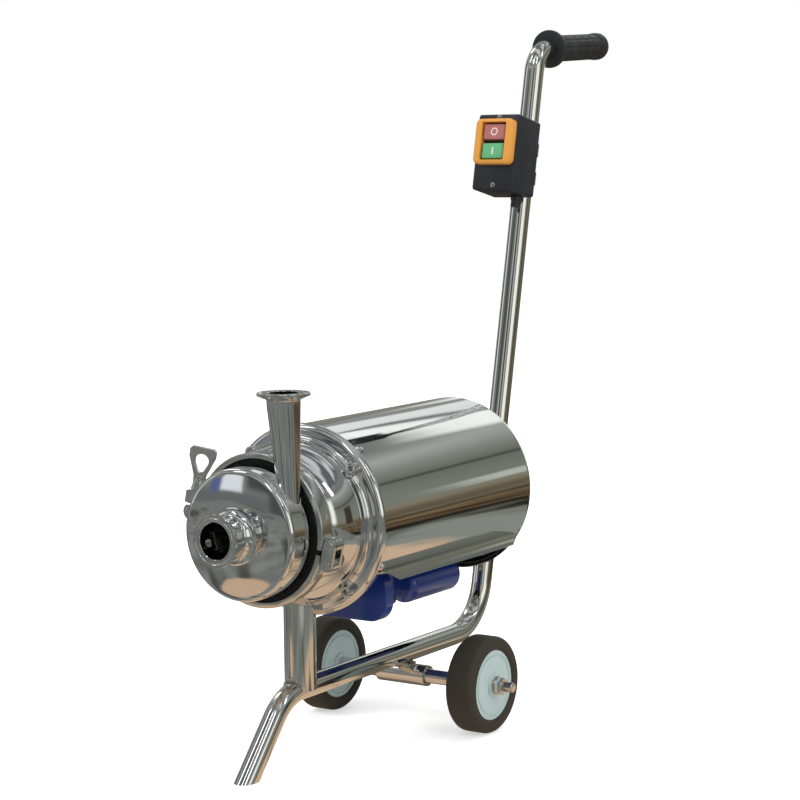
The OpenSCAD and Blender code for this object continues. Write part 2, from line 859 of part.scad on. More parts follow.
module pump_shaft() {
    socket_r = motor_nose_r + fit_c;
    color("silver") turned([
        [0, spindle_y - nose_l], [nose_r, spindle_y - nose_l], [nose_r, spindle_y], [spindle_r, spindle_y],
        [spindle_r, coupling_y], [coupling_r, coupling_y], [coupling_r, coupling_y + coupling_l],
        [socket_r, coupling_y + coupling_l], [socket_r, motor_nose_y], [0, motor_nose_y]]);
}

// Adapter

// Points of an arc from p to q that stands out by h in the middle
function swell_arc(p, q, h) =
    let (span = norm(q - p), r = span * span / (8 * h) + h / 2,
        out = [q[1] - p[1], p[0] - q[0]] / span,
        c = (p + q) / 2 - (r - h) * out, a = p - c, b = q - c)
    arc(c, r, atan2(a[1], a[0]), atan2(b[1], b[0]));

// Half profile of the bell's swelling wall, between its front edge and the fillet at its flange
function bell_wall() =
    swell_arc([bell_front_r, bell_y + bell_round], [bell_rear_r, adapter_flange_y - bell_round], bell_swell);

// Angle of the wall's face at its front edge
function bell_tilt() =
    let (wall = bell_wall(), step = wall[1] - wall[0])
    atan2(-step[0], step[1]);

// Middle of the rounding at the bell's front edge
function bell_edge() = bell_wall()[0] - bell_round * [cos(bell_tilt()), sin(bell_tilt())];

// Outside half profile of the adapter bell, from its front face to its rear flange
function bell_outline() = concat(
    [[clamp_lip_r - bell_lip_c, plate_back_y]],
    arc(bell_edge(), bell_round, -90, bell_tilt(), 5),
    bell_wall(),
    arc([bell_rear_r + bell_round, adapter_flange_y - bell_round], bell_round, 180, 90, 5),
    arc([adapter_r - rim_round, adapter_flange_y + rim_round], rim_round, -90, 0, 6),
    [[adapter_r, motor_y]]);

module adapter_bell() {
    bore_r = seal_cup_r + seal_cup_t + 2;
    inside_y = bell_edge()[1] - bell_round + bell_t;
    color("silver") difference() {
        turned(concat([[bore_r, plate_back_y]], bell_outline(),
            [[spigot_r, motor_y], [spigot_r, motor_y - spigot_l - 2],
            [bell_rear_r - bell_t, adapter_flange_y - bell_t], [bell_front_r - bell_t, inside_y],
            [bore_r, inside_y]]));
        flange_screw_places() {
            rod_y(screw_r + spot_c, adapter_flange_y - cut, motor_y + cut);
            rod_y(screw_head_r + spot_c, adapter_flange_y - screw_head_h - spot_l, adapter_flange_y);
        }
    }
}

// Places of the flange screws round the pump axis
module flange_screw_places() {
    head_frame()
        for (i = [0:3])
            rotate([0, -(45 + 90 * i) - flange_screw_turn, 0]) translate([flange_screw_pr, 0, 0]) children();
}

module flange_screws() {
    socket_r = 2.9;
    socket_h = 4;
    end_y = barrel_y + nut_t + 3;
    color("gainsboro") flange_screw_places() difference() {
        union() {
            rod_y(screw_head_r - fit_c, adapter_flange_y - screw_head_h, adapter_flange_y);
            rod_y(screw_r, adapter_flange_y - cut, end_y);
        }
        translate([0, adapter_flange_y - screw_head_h - cut, 0]) rotate([-90, 0, 0])
            cylinder(r = socket_r, h = socket_h + cut, $fn = 6);
    }
}

module flange_nuts() {
    color("gainsboro") flange_screw_places()
        translate([0, barrel_y, 0]) rotate([-90, 0, 0]) hex_nut(nut_af_r, nut_t, screw_r + fit_c);
}

// Motor

module motor_front_shield() {
    seat_r = bearing_r + fit_c;
    boss_or = bearing_r + bearing_wall;
    seat_end_y = front_bearing_y + bearing_w + 2;
    color("royalblue") difference() {
        turned([
            [shoulder_r, motor_y - spigot_l], [spigot_r - fit_c, motor_y - spigot_l], [spigot_r - fit_c, motor_y],
            [motor_flange_r, motor_y], [motor_flange_r, barrel_y], [barrel_r - fit_c, barrel_y],
            [barrel_r - fit_c, barrel_y + 8], [barrel_r - 6, barrel_y + 8], [barrel_r - 6, barrel_y],
            [boss_or, barrel_y], [boss_or, seat_end_y], [seat_r, seat_end_y], [seat_r, front_bearing_y],
            [shoulder_r, front_bearing_y]]);
        flange_screw_places() rod_y(screw_r + spot_c, motor_y - cut, barrel_y + cut);
        hood_screw_places() translate([0, 0, motor_flange_r - 8]) cylinder(r = hood_screw_r + fit_c, h = 9);
    }
}

module motor_barrel() {
    fin_l = barrel_l - 2 * 6;
    step = 360 / fin_count;
    color("royalblue") union() {
        turned_ring(barrel_r, barrel_or, barrel_y, barrel_end_y);
        head_frame()
            for (i = [0:fin_count - 1])
                if (i * step < fin_skip_from || i * step > fin_skip_to)
                    rotate([0, -i * step, 0])
                        translate([barrel_or - 1, barrel_y + 6, -fin_t / 2]) cube([fin_h + 1, fin_l, fin_t]);
    }
}

module motor_rear_shield() {
    seat_r = bearing_r + fit_c;
    boss_or = bearing_r + bearing_wall;
    hole_r = fan_shaft_r + 2;
    color("royalblue") turned([
        [hole_r, shield_end_y], [barrel_or - 6, shield_end_y], [barrel_or, shield_end_y - 6],
        [barrel_or, barrel_end_y], [barrel_r - fit_c, barrel_end_y], [barrel_r - fit_c, barrel_end_y - 8],
        [barrel_r - 6, barrel_end_y - 8], [barrel_r - 6, barrel_end_y], [boss_or, barrel_end_y],
        [boss_or, rear_bearing_y - 2], [seat_r, rear_bearing_y - 2], [seat_r, rear_bearing_y + bearing_w],
        [hole_r, rear_bearing_y + bearing_w]]);
}

// Ball bearing drawn as one ring with its shield grooves
module bearing(y) {
    shield_in = journal_r + 4;
    shield_out = bearing_r - 4;
    groove_t = 0.8;
    color("lightgray") turned([
        [journal_r + run_c, y], [shield_in, y], [shield_in, y + groove_t], [shield_out, y + groove_t],
        [shield_out, y], [bearing_r, y], [bearing_r, y + bearing_w], [shield_out, y + bearing_w],
        [shield_out, y + bearing_w - groove_t], [shield_in, y + bearing_w - groove_t],
        [shield_in, y + bearing_w], [journal_r + run_c, y + bearing_w]]);
}

module front_bearing() {
    bearing(front_bearing_y);
}

module rear_bearing() {
    bearing(rear_bearing_y);
}

module stator_core() {
    color("gray") turned_ring(rotor_r + air_gap, barrel_r - fit_c, core_y, core_y + stator_l);
}

module stator_coils() {
    coil_in = rotor_r + air_gap + 5;
    coil_out = barrel_r - 5;
    color("peru")
        for (y = [core_y - coil_l, core_y + stator_l])
            turned([[coil_in, y], [coil_out - 3, y], [coil_out, y + 3], [coil_out, y + coil_l - 3],
                [coil_out - 3, y + coil_l], [coil_in, y + coil_l]]);
}

module rotor_core() {
    color("darkgray") turned_ring(shoulder_r + fit_c, rotor_r, core_y, core_y + stator_l);
}

module motor_shaft() {
    front_shoulder = front_bearing_y + bearing_w + move_c;
    rear_shoulder = rear_bearing_y - move_c;
    rear_journal_end = rear_bearing_y + bearing_w;
    color("lightgray") turned([
        [0, motor_nose_y], [motor_nose_r, motor_nose_y], [motor_nose_r, front_bearing_y - 1],
        [journal_r, front_bearing_y - 1], [journal_r, front_shoulder], [shoulder_r, front_shoulder],
        [shoulder_r, rear_shoulder], [journal_r, rear_shoulder], [journal_r, rear_journal_end],
        [fan_shaft_r, rear_journal_end], [fan_shaft_r, fan_y + fan_w + 3], [0, fan_y + fan_w + 3]]);
}

module cooling_fan() {
    disc_t = 2.5;
    hub_or = fan_shaft_r + 6;
    vane_t = 2.5;
    color("midnightblue") {
        turned([[fan_shaft_r + fit_c, fan_y], [fan_r, fan_y], [fan_r, fan_y + disc_t], [hub_or, fan_y + disc_t],
            [hub_or, fan_y + fan_w], [fan_shaft_r + fit_c, fan_y + fan_w]]);
        head_frame()
            for (i = [0:fan_blades - 1])
                rotate([0, 360 * i / fan_blades, 0]) translate([hub_or - 1, fan_y + disc_t, -vane_t / 2])
                    cube([fan_r - hub_or + 1, fan_w - disc_t - 2, vane_t]);
    }
}

// Stands a shape drawn about its own middle under the barrel, with its top coped to the barrel
module under_barrel(x, z_low, z_high, y0, y1) {
    cart_frame() difference() {
        translate([x, 0, (z_low + z_high) / 2]) extrude_y(y0, y1) children();
        translate([0, 0, axis_z]) rod_y(barrel_or + fit_c, y0 - cut, y1 + cut);
    }
}

module terminal_box() {
    top_z = axis_z - barrel_r + 8;
    color("royalblue") under_barrel(terminal_x, terminal_z, top_z, terminal_y, terminal_y + terminal_l)
        round_rect(terminal_w, top_z - terminal_z, terminal_corner_r);
}

module terminal_lid() {
    top_z = axis_z - barrel_r + 8;
    color("royalblue") under_barrel(lid_x, lid_z, top_z, lid_y, terminal_y)
        round_rect(lid_w, top_z - lid_z, lid_corner_r);
}

module motor_gland() {
    color("dimgray") cart_frame()
        translate([gland_x, terminal_y + terminal_l, terminal_z + gland_r + 1.5]) rotate([-90, 0, 0]) {
            cylinder(r = gland_r + 1.5, h = gland_h / 2, $fn = 6);
            cylinder(r = gland_r, h = gland_h);
        }
}

module capacitor_cover() {
    end_y = capacitor_y + capacitor_l;
    nose = [capacitor_r - capacitor_nose_r, capacitor_y + capacitor_nose_r];
    tail = [capacitor_r - capacitor_tail_r, end_y - capacitor_tail_r];
    color("royalblue") cart_frame() difference() {
        union() {
            translate([capacitor_x, 0, capacitor_z]) rotate([-90, 0, 0]) rotate_extrude() polygon(concat(
                [[0, capacitor_y]], arc(nose, capacitor_nose_r, -90, 0), arc(tail, capacitor_tail_r, 0, 90),
                [[0, end_y]]));
            translate([capacitor_x - saddle_x / 2, capacitor_y + 8, capacitor_z])
                cube([saddle_x, saddle_l, axis_z - capacitor_z]);
        }
        translate([0, 0, axis_z]) rod_y(barrel_or + fit_c, capacitor_y - cut, far);
    }
}

// Hood

// Corners of the right flared lip, which starts inside the sheet
function hood_lip() =
    let (along = [cos(hood_lip_a), -sin(hood_lip_a)],
        up = hood_t / 2 * [sin(hood_lip_a), cos(hood_lip_a)],
        root = (hood_r - hood_t / 2) * [cos(hood_drop), -sin(hood_drop)] - hood_t * along,
        tip = root + hood_lip_w * along)
    [root - up, tip - up, tip + up, root + up];

// Sheet outline of the hood in X and Z, open below
module hood_outline() {
    difference() {
        circle(hood_r);
        circle(hood_r - hood_t);
        polygon([[0, 0], far * [cos(hood_drop), -sin(hood_drop)], [far, -far], [-far, -far],
            far * [-cos(hood_drop), -sin(hood_drop)]]);
    }
}

// Right flared lip, with its rear corner cut at a slant
module hood_lip_side() {
    fold_x = hood_r * cos(hood_drop);
    slant = hood_lip_cut / (hood_lip_w * cos(hood_lip_a));
    difference() {
        extrude_y(hood_y + hood_lip_back, hood_cap_y) polygon(hood_lip());
        translate([0, 0, -far / 2]) linear_extrude(far) polygon([
            [fold_x, hood_cap_y], [fold_x + far, hood_cap_y - slant * far], [fold_x + far, hood_cap_y + cut],
            [fold_x, hood_cap_y + cut]]);
    }
}

// Places of the hood's screws, with local Z pointing out of the sheet
module hood_screw_places() {
    head_frame()
        for (a = hood_screw_angles)
            translate([0, hood_screw_y, 0]) rotate([0, 90 - a, 0]) children();
}

module motor_hood() {
    color("silver") difference() {
        head_frame() {
            extrude_y(hood_y, hood_cap_y) hood_outline();
            hood_lip_side();
            mirror([1, 0, 0]) hood_lip_side();
        }
        hood_screw_places() translate([0, 0, hood_r - hood_drill / 2])
            cylinder(r = hood_screw_r + fit_c, h = hood_drill);
    }
}

module hood_end_cap() {
    edge = [hood_r - hood_edge_r, hood_cap_y];
    color("silver") turned(concat(
        [[hood_r - hood_t, hood_cap_y]], arc(edge, hood_edge_r, 0, 90), [[0, hood_cap_y + hood_edge_r]],
        [[0, hood_cap_y + hood_edge_r - hood_t]], arc(edge, hood_edge_r - hood_t, 90, 0)));
}

module hood_screws() {
    color("gainsboro") hood_screw_places() {
        translate([0, 0, motor_flange_r - 7]) cylinder(r = hood_screw_r, h = 7 + hood_t + cut);
        translate([0, 0, hood_r + flange_fit_c])
            cylinder(r1 = hood_screw_head_r, r2 = hood_screw_head_r - 1.6, h = hood_screw_head_h);
    }
}

// Cart

// Straight tube from the frame's origin along local Z, solid or grown by a radius
module tube_run(r, l) {
    cylinder(r = r, h = l);
}

// Bend that starts at the origin along local Z and turns towards local +X by an angle.
// It is a hair fuller than the straight runs and reaches a little into them.
module tube_bend(r, bend_r, angle) {
    over = bend_lap / bend_r * 180 / PI;
    translate([bend_r, 0, 0]) rotate([90, 0, 180]) rotate([0, 0, -over])
        rotate_extrude(angle = angle + 2 * over, $fn = 96) translate([bend_r, 0]) circle(r + bend_swell);
}

// Whole run of the cart's tube as a solid of one radius, from below the foot to the end of the handle
module tube_solid(r) {
    foot_extra = 20;
    foot_run = spine_z / sin(foot_a) - foot_tangent;
    spine_run = heel_y - foot_corner_y - foot_tangent - heel_tangent;
    upright_run = upright_z / cos(lean) - heel_tangent - crown_tangent;
    // Local +X of each frame below lies in the plane of the cart
    translate([0, foot_y, 0]) rotate([0, 0, 90]) rotate([0, 90 - foot_a, 0]) {
        translate([0, 0, -foot_extra]) tube_run(r, foot_run + foot_extra);
        translate([0, 0, foot_run]) tube_bend(r, foot_bend_r, foot_a);
    }
    translate([0, foot_corner_y + foot_tangent, spine_z]) rotate([0, 0, 90]) rotate([0, 90, 0]) {
        tube_run(r, spine_run);
        translate([0, 0, spine_run]) mirror([1, 0, 0]) tube_bend(r, heel_bend_r, heel_turn);
    }
    translate([0, heel_y, spine_z]) rotate([0, 0, 90]) rotate([0, lean, 0]) translate([0, 0, heel_tangent]) {
        tube_run(r, upright_run);
        translate([0, 0, upright_run]) tube_bend(r, crown_bend_r, crown_turn);
    }
    handle_frame() translate([0, 0, crown_tangent]) tube_run(r, handle_l - crown_tangent);
}

// Frame at the handle's corner with local Z along the grip
module handle_frame() {
    translate([0, crown_y, crown_z]) rotate([-90 + grip_a, 0, 0]) children();
}

module cart_tube() {
    color("silver") cart_frame() difference() {
        tube_solid(tube_r);
        tube_solid(tube_r - tube_t);
        translate([-far / 2, -far / 2, -far]) cube(far);
        handle_frame() translate([0, 0, handle_l - cut / 2]) cylinder(r = 2 * tube_r, h = far);
    }
}

module support_post() {
    color("silver") cart_frame() difference() {
        translate([0, post_y, spine_z]) cylinder(r = post_r, h = axis_z - spine_z);
        translate([0, post_y, spine_z - cut]) cylinder(r = post_r - post_t, h = axis_z);
        tube_solid(tube_r + fit_c);
        translate([0, 0, axis_z]) spin_y() rotate_extrude() polygon(concat(
            [[0, plate_back_y]], bell_outline(), [[adapter_r, far], [0, far]]));
    }
}

module axle_tube() {
    color("silver") cart_frame() difference() {
        translate([0, axle_y, wheel_r]) rotate([0, 90, 0]) difference() {
            cylinder(r = cross_r, h = 2 * cross_x, center = true);
            cylinder(r = cross_r - cross_t, h = 2 * cross_x + 2 * cut, center = true);
        }
        tube_solid(tube_r + fit_c);
    }
}

// Frame on the axle with local Z along +X; side 1 is the right wheel and -1 the left one
module axle_frame(side) {
    cart_frame() translate([0, axle_y, wheel_r]) rotate([0, side * 90, 0]) children();
}

module axle_plugs() {
    spigot = cross_r - cross_t - fit_c;
    color("silver")
        for (side = [-1, 1])
            axle_frame(side) rotate_extrude() polygon([
                [axle_r + fit_c, cross_x - plug_l], [spigot, cross_x - plug_l], [spigot, cross_x],
                [cross_r, cross_x], [cross_r, cross_x + 1], [plug_collar_r, cross_x + 1],
                [plug_collar_r, wheel_in_x - move_c], [axle_r + fit_c, wheel_in_x - move_c]]);
}

module axle_rod() {
    tip = 0.8;
    color("silver") axle_frame(1) rotate_extrude() polygon([
        [0, -axle_end_x], [axle_r - tip, -axle_end_x], [axle_r, tip - axle_end_x],
        [axle_r, axle_end_x - tip], [axle_r - tip, axle_end_x], [0, axle_end_x]]);
}

module tyre(side) {
    edge_x = wheel_w / 2 - tyre_edge_r;
    edge_r = wheel_r - tyre_edge_r;
    color("dimgray") axle_frame(side) translate([0, 0, wheel_x]) rotate_extrude() polygon(concat(
        [[hub_r, -rim_w / 2], [hub_r + 2, -wheel_w / 2]],
        arc([edge_r, -edge_x], tyre_edge_r, -90, 0), arc([edge_r, edge_x], tyre_edge_r, 0, 90),
        [[hub_r + 2, wheel_w / 2], [hub_r, rim_w / 2]]));
}

// Moulded hub: disc with a ring groove on both faces, and a boss that runs on the axle rod
module hub(side) {
    groove_in = hub_r - 6.2;
    groove_out = groove_in + groove_w;
    disc_x = rim_w / 2;
    face = [
        [axle_r + run_c, wheel_w / 2], [boss_r, wheel_w / 2], [boss_r, disc_x], [groove_in, disc_x],
        [groove_in, disc_x - groove_d], [groove_out, disc_x - groove_d], [groove_out, disc_x],
        [hub_r - fit_c, disc_x]];
    back = [for (i = [len(face) - 1:-1:0]) [face[i][0], -face[i][1]]];
    color("lightsteelblue") axle_frame(side) translate([0, 0, wheel_x])
        rotate_extrude() polygon(concat(face, back));
}

module tyre_right() {
    tyre(1);
}

module hub_right() {
    hub(1);
}

module tyre_left() {
    tyre(-1);
}

module hub_left() {
    hub(-1);
}

module axle_washers() {
    color("silver")
        for (side = [-1, 1])
            axle_frame(side) translate([0, 0, washer_x]) difference() {
                cylinder(r = washer_r, h = washer_t);
                translate([0, 0, -cut]) cylinder(r = axle_r + fit_c, h = washer_t + 2 * cut);
            }
}

module axle_nuts() {
    color("silver")
        for (side = [-1, 1])
            axle_frame(side) translate([0, 0, axle_nut_x]) hex_nut(axle_nut_r, axle_nut_t, axle_r + fit_c);
}

module handle_grip() {
    rib_from = grip_stop_t + 6;
    bulge_l = 14;
    rib_step = (grip_l - rib_from - bulge_l - rib_rest) / rib_count;
    color("dimgray") cart_frame() handle_frame() translate([0, 0, grip_y0]) rotate_extrude() polygon(concat(
        [[tube_r + fit_c, 0], [grip_stop_r - 1.5, 0], [grip_stop_r, 1.5], [grip_stop_r, grip_stop_t - 1.5],
        [grip_stop_r - 1.5, grip_stop_t], [grip_r, grip_stop_t + 1]],
        [for (i = [0:rib_count - 1]) each [
            [grip_r, rib_from + i * rib_step], [grip_r + rib_h, rib_from + (i + 0.3) * rib_step],
            [grip_r, rib_from + (i + 0.6) * rib_step]]],
        [[grip_r, grip_l - bulge_l - 6], [grip_end_r, grip_l - bulge_l]],
        arc([grip_end_r - grip_round, grip_l - grip_round], grip_round, 0, 90, 5),
        [[0, grip_l], [0, grip_l - grip_cap_t + cut / 2], [tube_r + fit_c, grip_l - grip_cap_t + cut / 2]]));
}

// Switch

// Frame at the box's middle on the upright: local -Y forward, local Z up along the tube
module box_frame() {
    cart_frame() translate([0, heel_y, spine_z]) rotate([-lean, 0, 0]) translate([0, 0, box_s]) children();
}

// Extrudes an outline drawn in X and local Z forward between two distances from the tube's axis
module box_slab(near, reach) {
    translate([0, -near, 0]) rotate([90, 0, 0]) linear_extrude(reach - near) children();
}

module switch_base() {
    color("dimgray") box_frame() box_slab(box_back, box_back + base_d) round_rect(box_w, box_h, box_corner_r);
}

module switch_housing() {
    well_x = bezel_w - 8;
    well_z = bezel_h - 6;
    color("dimgray") box_frame() difference() {
        box_slab(box_back + base_d, box_front) round_rect(box_w, box_h, box_corner_r);
        box_slab(box_back + base_d - cut, box_front - box_wall)
            round_rect(box_w - 2 * box_wall, box_h - 2 * box_wall, box_corner_r);
        translate([0, 0, bezel_up]) box_slab(box_front - box_wall - cut, box_front + cut)
            square([well_x, well_z], center = true);
    }
}

module switch_bezel() {
    inner_d = 18;
    skirt_w = bezel_w - 8 - 2 * fit_c;
    skirt_h = bezel_h - 6 - 2 * fit_c;
    color("orange") box_frame() translate([0, 0, bezel_up]) difference() {
        union() {
            box_slab(box_front, box_front + bezel_t - 2) round_rect(bezel_w, bezel_h, bezel_corner_r);
            box_slab(box_front + bezel_t - 2, box_front + bezel_t)
                round_rect(bezel_w - 3, bezel_h - 3, bezel_corner_r - 1.5);
            box_slab(box_front - inner_d, box_front) square([skirt_w, skirt_h], center = true);
        }
        box_slab(box_front - inner_d - cut, box_front + bezel_t + cut) square([well_w, well_h], center = true);
    }
}

module contact_block() {
    color("dimgray") box_frame() translate([0, 0, bezel_up])
        box_slab(box_front - block_back - block_d, box_front - block_back)
            square([bezel_w - 8, bezel_h - 6], center = true);
}

// Push button with its stem, side 1 above and -1 below
module button(side) {
    top = box_front + bezel_t - button_recess;
    face_z = side * (button_h + button_gap) / 2;
    box_frame() translate([0, 0, bezel_up + face_z]) {
        box_slab(top - button_l, top - 1) square([button_w, button_h], center = true);
        box_slab(top - 1, top) square([button_w - 2, button_h - 2], center = true);
    }
}

module stop_button() {
    color("indianred") button(1);
}

module start_button() {
    color("mediumseagreen") button(-1);
}

// Saddle between the tube and the box with two straps round the tube
module box_saddle() {
    color("dimgray") box_frame() difference() {
        union() {
            box_slab(tube_r * 0.4, box_back) square([saddle_w, saddle_h], center = true);
            for (s = [-clip_s, clip_s])
                translate([0, 0, s - clip_w / 2]) cylinder(r = tube_r + clip_t, h = clip_w);
        }
        translate([0, 0, -far / 2]) cylinder(r = tube_r + fit_c, h = far);
    }
}

module switch_gland() {
    color("dimgray") box_frame() translate([box_gland_x, -box_back - box_gland_r - 1.5, -box_h / 2])
        mirror([0, 0, 1]) {
        cylinder(r = box_gland_r, h = 4, $fn = 6);
        cylinder(r = box_gland_r - 1.5, h = box_gland_l);
    }
}

inlet_nozzle();
pump_casing();
discharge_pipe();
outlet_ferrule();
casing_gasket();
back_plate();
clamp_upper_half();
clamp_lower_half();
clamp_hinge_links();
clamp_pins();
swing_bolt();
wing_nut();
impeller();
impeller_nut();
seal_bellows();
seal_ring();
seal_seat();
pump_shaft();
adapter_bell();
flange_screws();
flange_nuts();
motor_front_shield();
motor_barrel();
motor_rear_shield();
front_bearing();
rear_bearing();
stator_core();
stator_coils();
rotor_core();
motor_shaft();
cooling_fan();
terminal_box();
terminal_lid();
motor_gland();
capacitor_cover();
motor_hood();
hood_end_cap();
hood_screws();
cart_tube();
support_post();
axle_tube();
axle_plugs();
axle_rod();
tyre_right();
hub_right();
tyre_left();
hub_left();
axle_washers();
axle_nuts();
handle_grip();
switch_base();
switch_housing();
switch_bezel();
contact_block();
stop_button();
start_button();
box_saddle();
switch_gland();
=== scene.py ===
"""Looks of a polished sanitary pump on a two-wheeled hand cart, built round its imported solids.

Lengths are written in millimetres and turned to metres by MM. Stations run along +Y from the face of the
inlet ferrule, as they do on the drawing, and ROOT_Y carries them to the row frame.
"""
from __future__ import annotations

import logging
import math
from dataclasses import dataclass
from enum import Enum
from typing import Sequence

import bmesh
import bpy
from mathutils import Matrix, Vector


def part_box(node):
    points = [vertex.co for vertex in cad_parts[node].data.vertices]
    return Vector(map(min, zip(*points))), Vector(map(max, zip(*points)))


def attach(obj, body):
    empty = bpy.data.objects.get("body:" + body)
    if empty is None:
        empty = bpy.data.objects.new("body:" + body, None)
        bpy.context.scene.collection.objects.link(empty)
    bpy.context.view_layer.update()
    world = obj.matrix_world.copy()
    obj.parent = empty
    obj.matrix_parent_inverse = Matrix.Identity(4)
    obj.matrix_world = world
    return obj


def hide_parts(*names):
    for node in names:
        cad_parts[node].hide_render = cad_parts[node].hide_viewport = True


logging.basicConfig(level=logging.INFO, format="%(message)s")
log = logging.getLogger("pump")

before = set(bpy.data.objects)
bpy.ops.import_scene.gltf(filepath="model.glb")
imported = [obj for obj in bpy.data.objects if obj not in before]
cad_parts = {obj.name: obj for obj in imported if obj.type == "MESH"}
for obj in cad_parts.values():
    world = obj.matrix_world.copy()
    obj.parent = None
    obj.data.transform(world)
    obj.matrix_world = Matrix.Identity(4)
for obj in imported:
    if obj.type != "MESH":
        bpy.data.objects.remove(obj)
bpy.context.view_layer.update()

MM = 0.001
ROOT_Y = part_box("inlet_nozzle")[0].y
AXIS_Z = (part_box("inlet_nozzle")[0].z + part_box("inlet_nozzle")[1].z) / 2

# Edges that turn by more than these degrees stay sharp, on drawn skins and on plain, bevelled and tubular
# copies of solids.
SHARP = 32.0
SHARP_COPY = 28.0
SHARP_BEVEL = 26.0
SHARP_TUBE = 24.0

Object = bpy.types.Object
Socket = bpy.types.NodeSocket
Point2 = tuple[float, float]
Point3 = tuple[float, float, float]
Rgb = tuple[float, float, float]
Stops = tuple[tuple[float, Rgb], ...]


class Body(str, Enum):
    """Rigid bodies that pieces ride on."""

    CART = "cart"
    ROTOR = "rotor"
    RIGHT_WHEEL = "right_wheel"
    LEFT_WHEEL = "left_wheel"
    BOLT = "bolt_arm"
    NUT = "nut_loop"
    STOP = "stop_key"
    START = "start_key"


# Shader building


class Value:
    """A number socket that takes part in Python expressions."""

    def __init__(self, tree: bpy.types.NodeTree, socket: Socket) -> None:
        """Wraps an output socket of a node tree."""
        self.tree = tree
        self.socket = socket

    def _math(self, operation: str, first: object, second: object) -> Value:
        """Adds one Math node.

        Args:
            operation: the Math node's operation.
            first: a Value or a number.
            second: a Value or a number.

        Returns:
            The node's result.
        """
        node = self.tree.nodes.new("ShaderNodeMath")
        node.operation = operation
        for slot, item in zip(node.inputs, (first, second)):
            if isinstance(item, Value):
                self.tree.links.new(item.socket, slot)
            else:
                slot.default_value = float(item)
        return Value(self.tree, node.outputs[0])

    def __add__(self, other: object) -> Value:
        """Sum, with a number on either side."""
        return self._math("ADD", self, other)

    def __sub__(self, other: object) -> Value:
        """Difference."""
        return self._math("SUBTRACT", self, other)

    def __rsub__(self, other: object) -> Value:
        """Difference with a number on the left."""
        return self._math("SUBTRACT", other, self)

    def __mul__(self, other: object) -> Value:
        """Product, with a number on either side."""
        return self._math("MULTIPLY", self, other)

    def __truediv__(self, other: object) -> Value:
        """Quotient."""
        return self._math("DIVIDE", self, other)

    def __pow__(self, other: object) -> Value:
        """Power."""
        return self._math("POWER", self, other)

    def __abs__(self) -> Value:
        """Size without sign."""
        return self._math("ABSOLUTE", self, 0.0)

    __radd__ = __add__
    __rmul__ = __mul__

    def bearing(self, ahead: Value) -> Value:
        """Angle in radians of a point that lies this far aside and so far ahead."""
        return self._math("ARCTAN2", self, ahead)

    def fade(self, low: float, high: float) -> Value:
        """Smooth step.

        Args:
            low: where the step is 0; it may be the greater number.
            high: where the step is 1.

        Returns:
            The step's result.
        """
        node = self.tree.nodes.new("ShaderNodeMapRange")
        node.interpolation_type = "SMOOTHSTEP"
        self.tree.links.new(self.socket, node.inputs["Value"])
        node.inputs["From Min"].default_value = low
        node.inputs["From Max"].default_value = high
        return Value(self.tree, node.outputs[0])


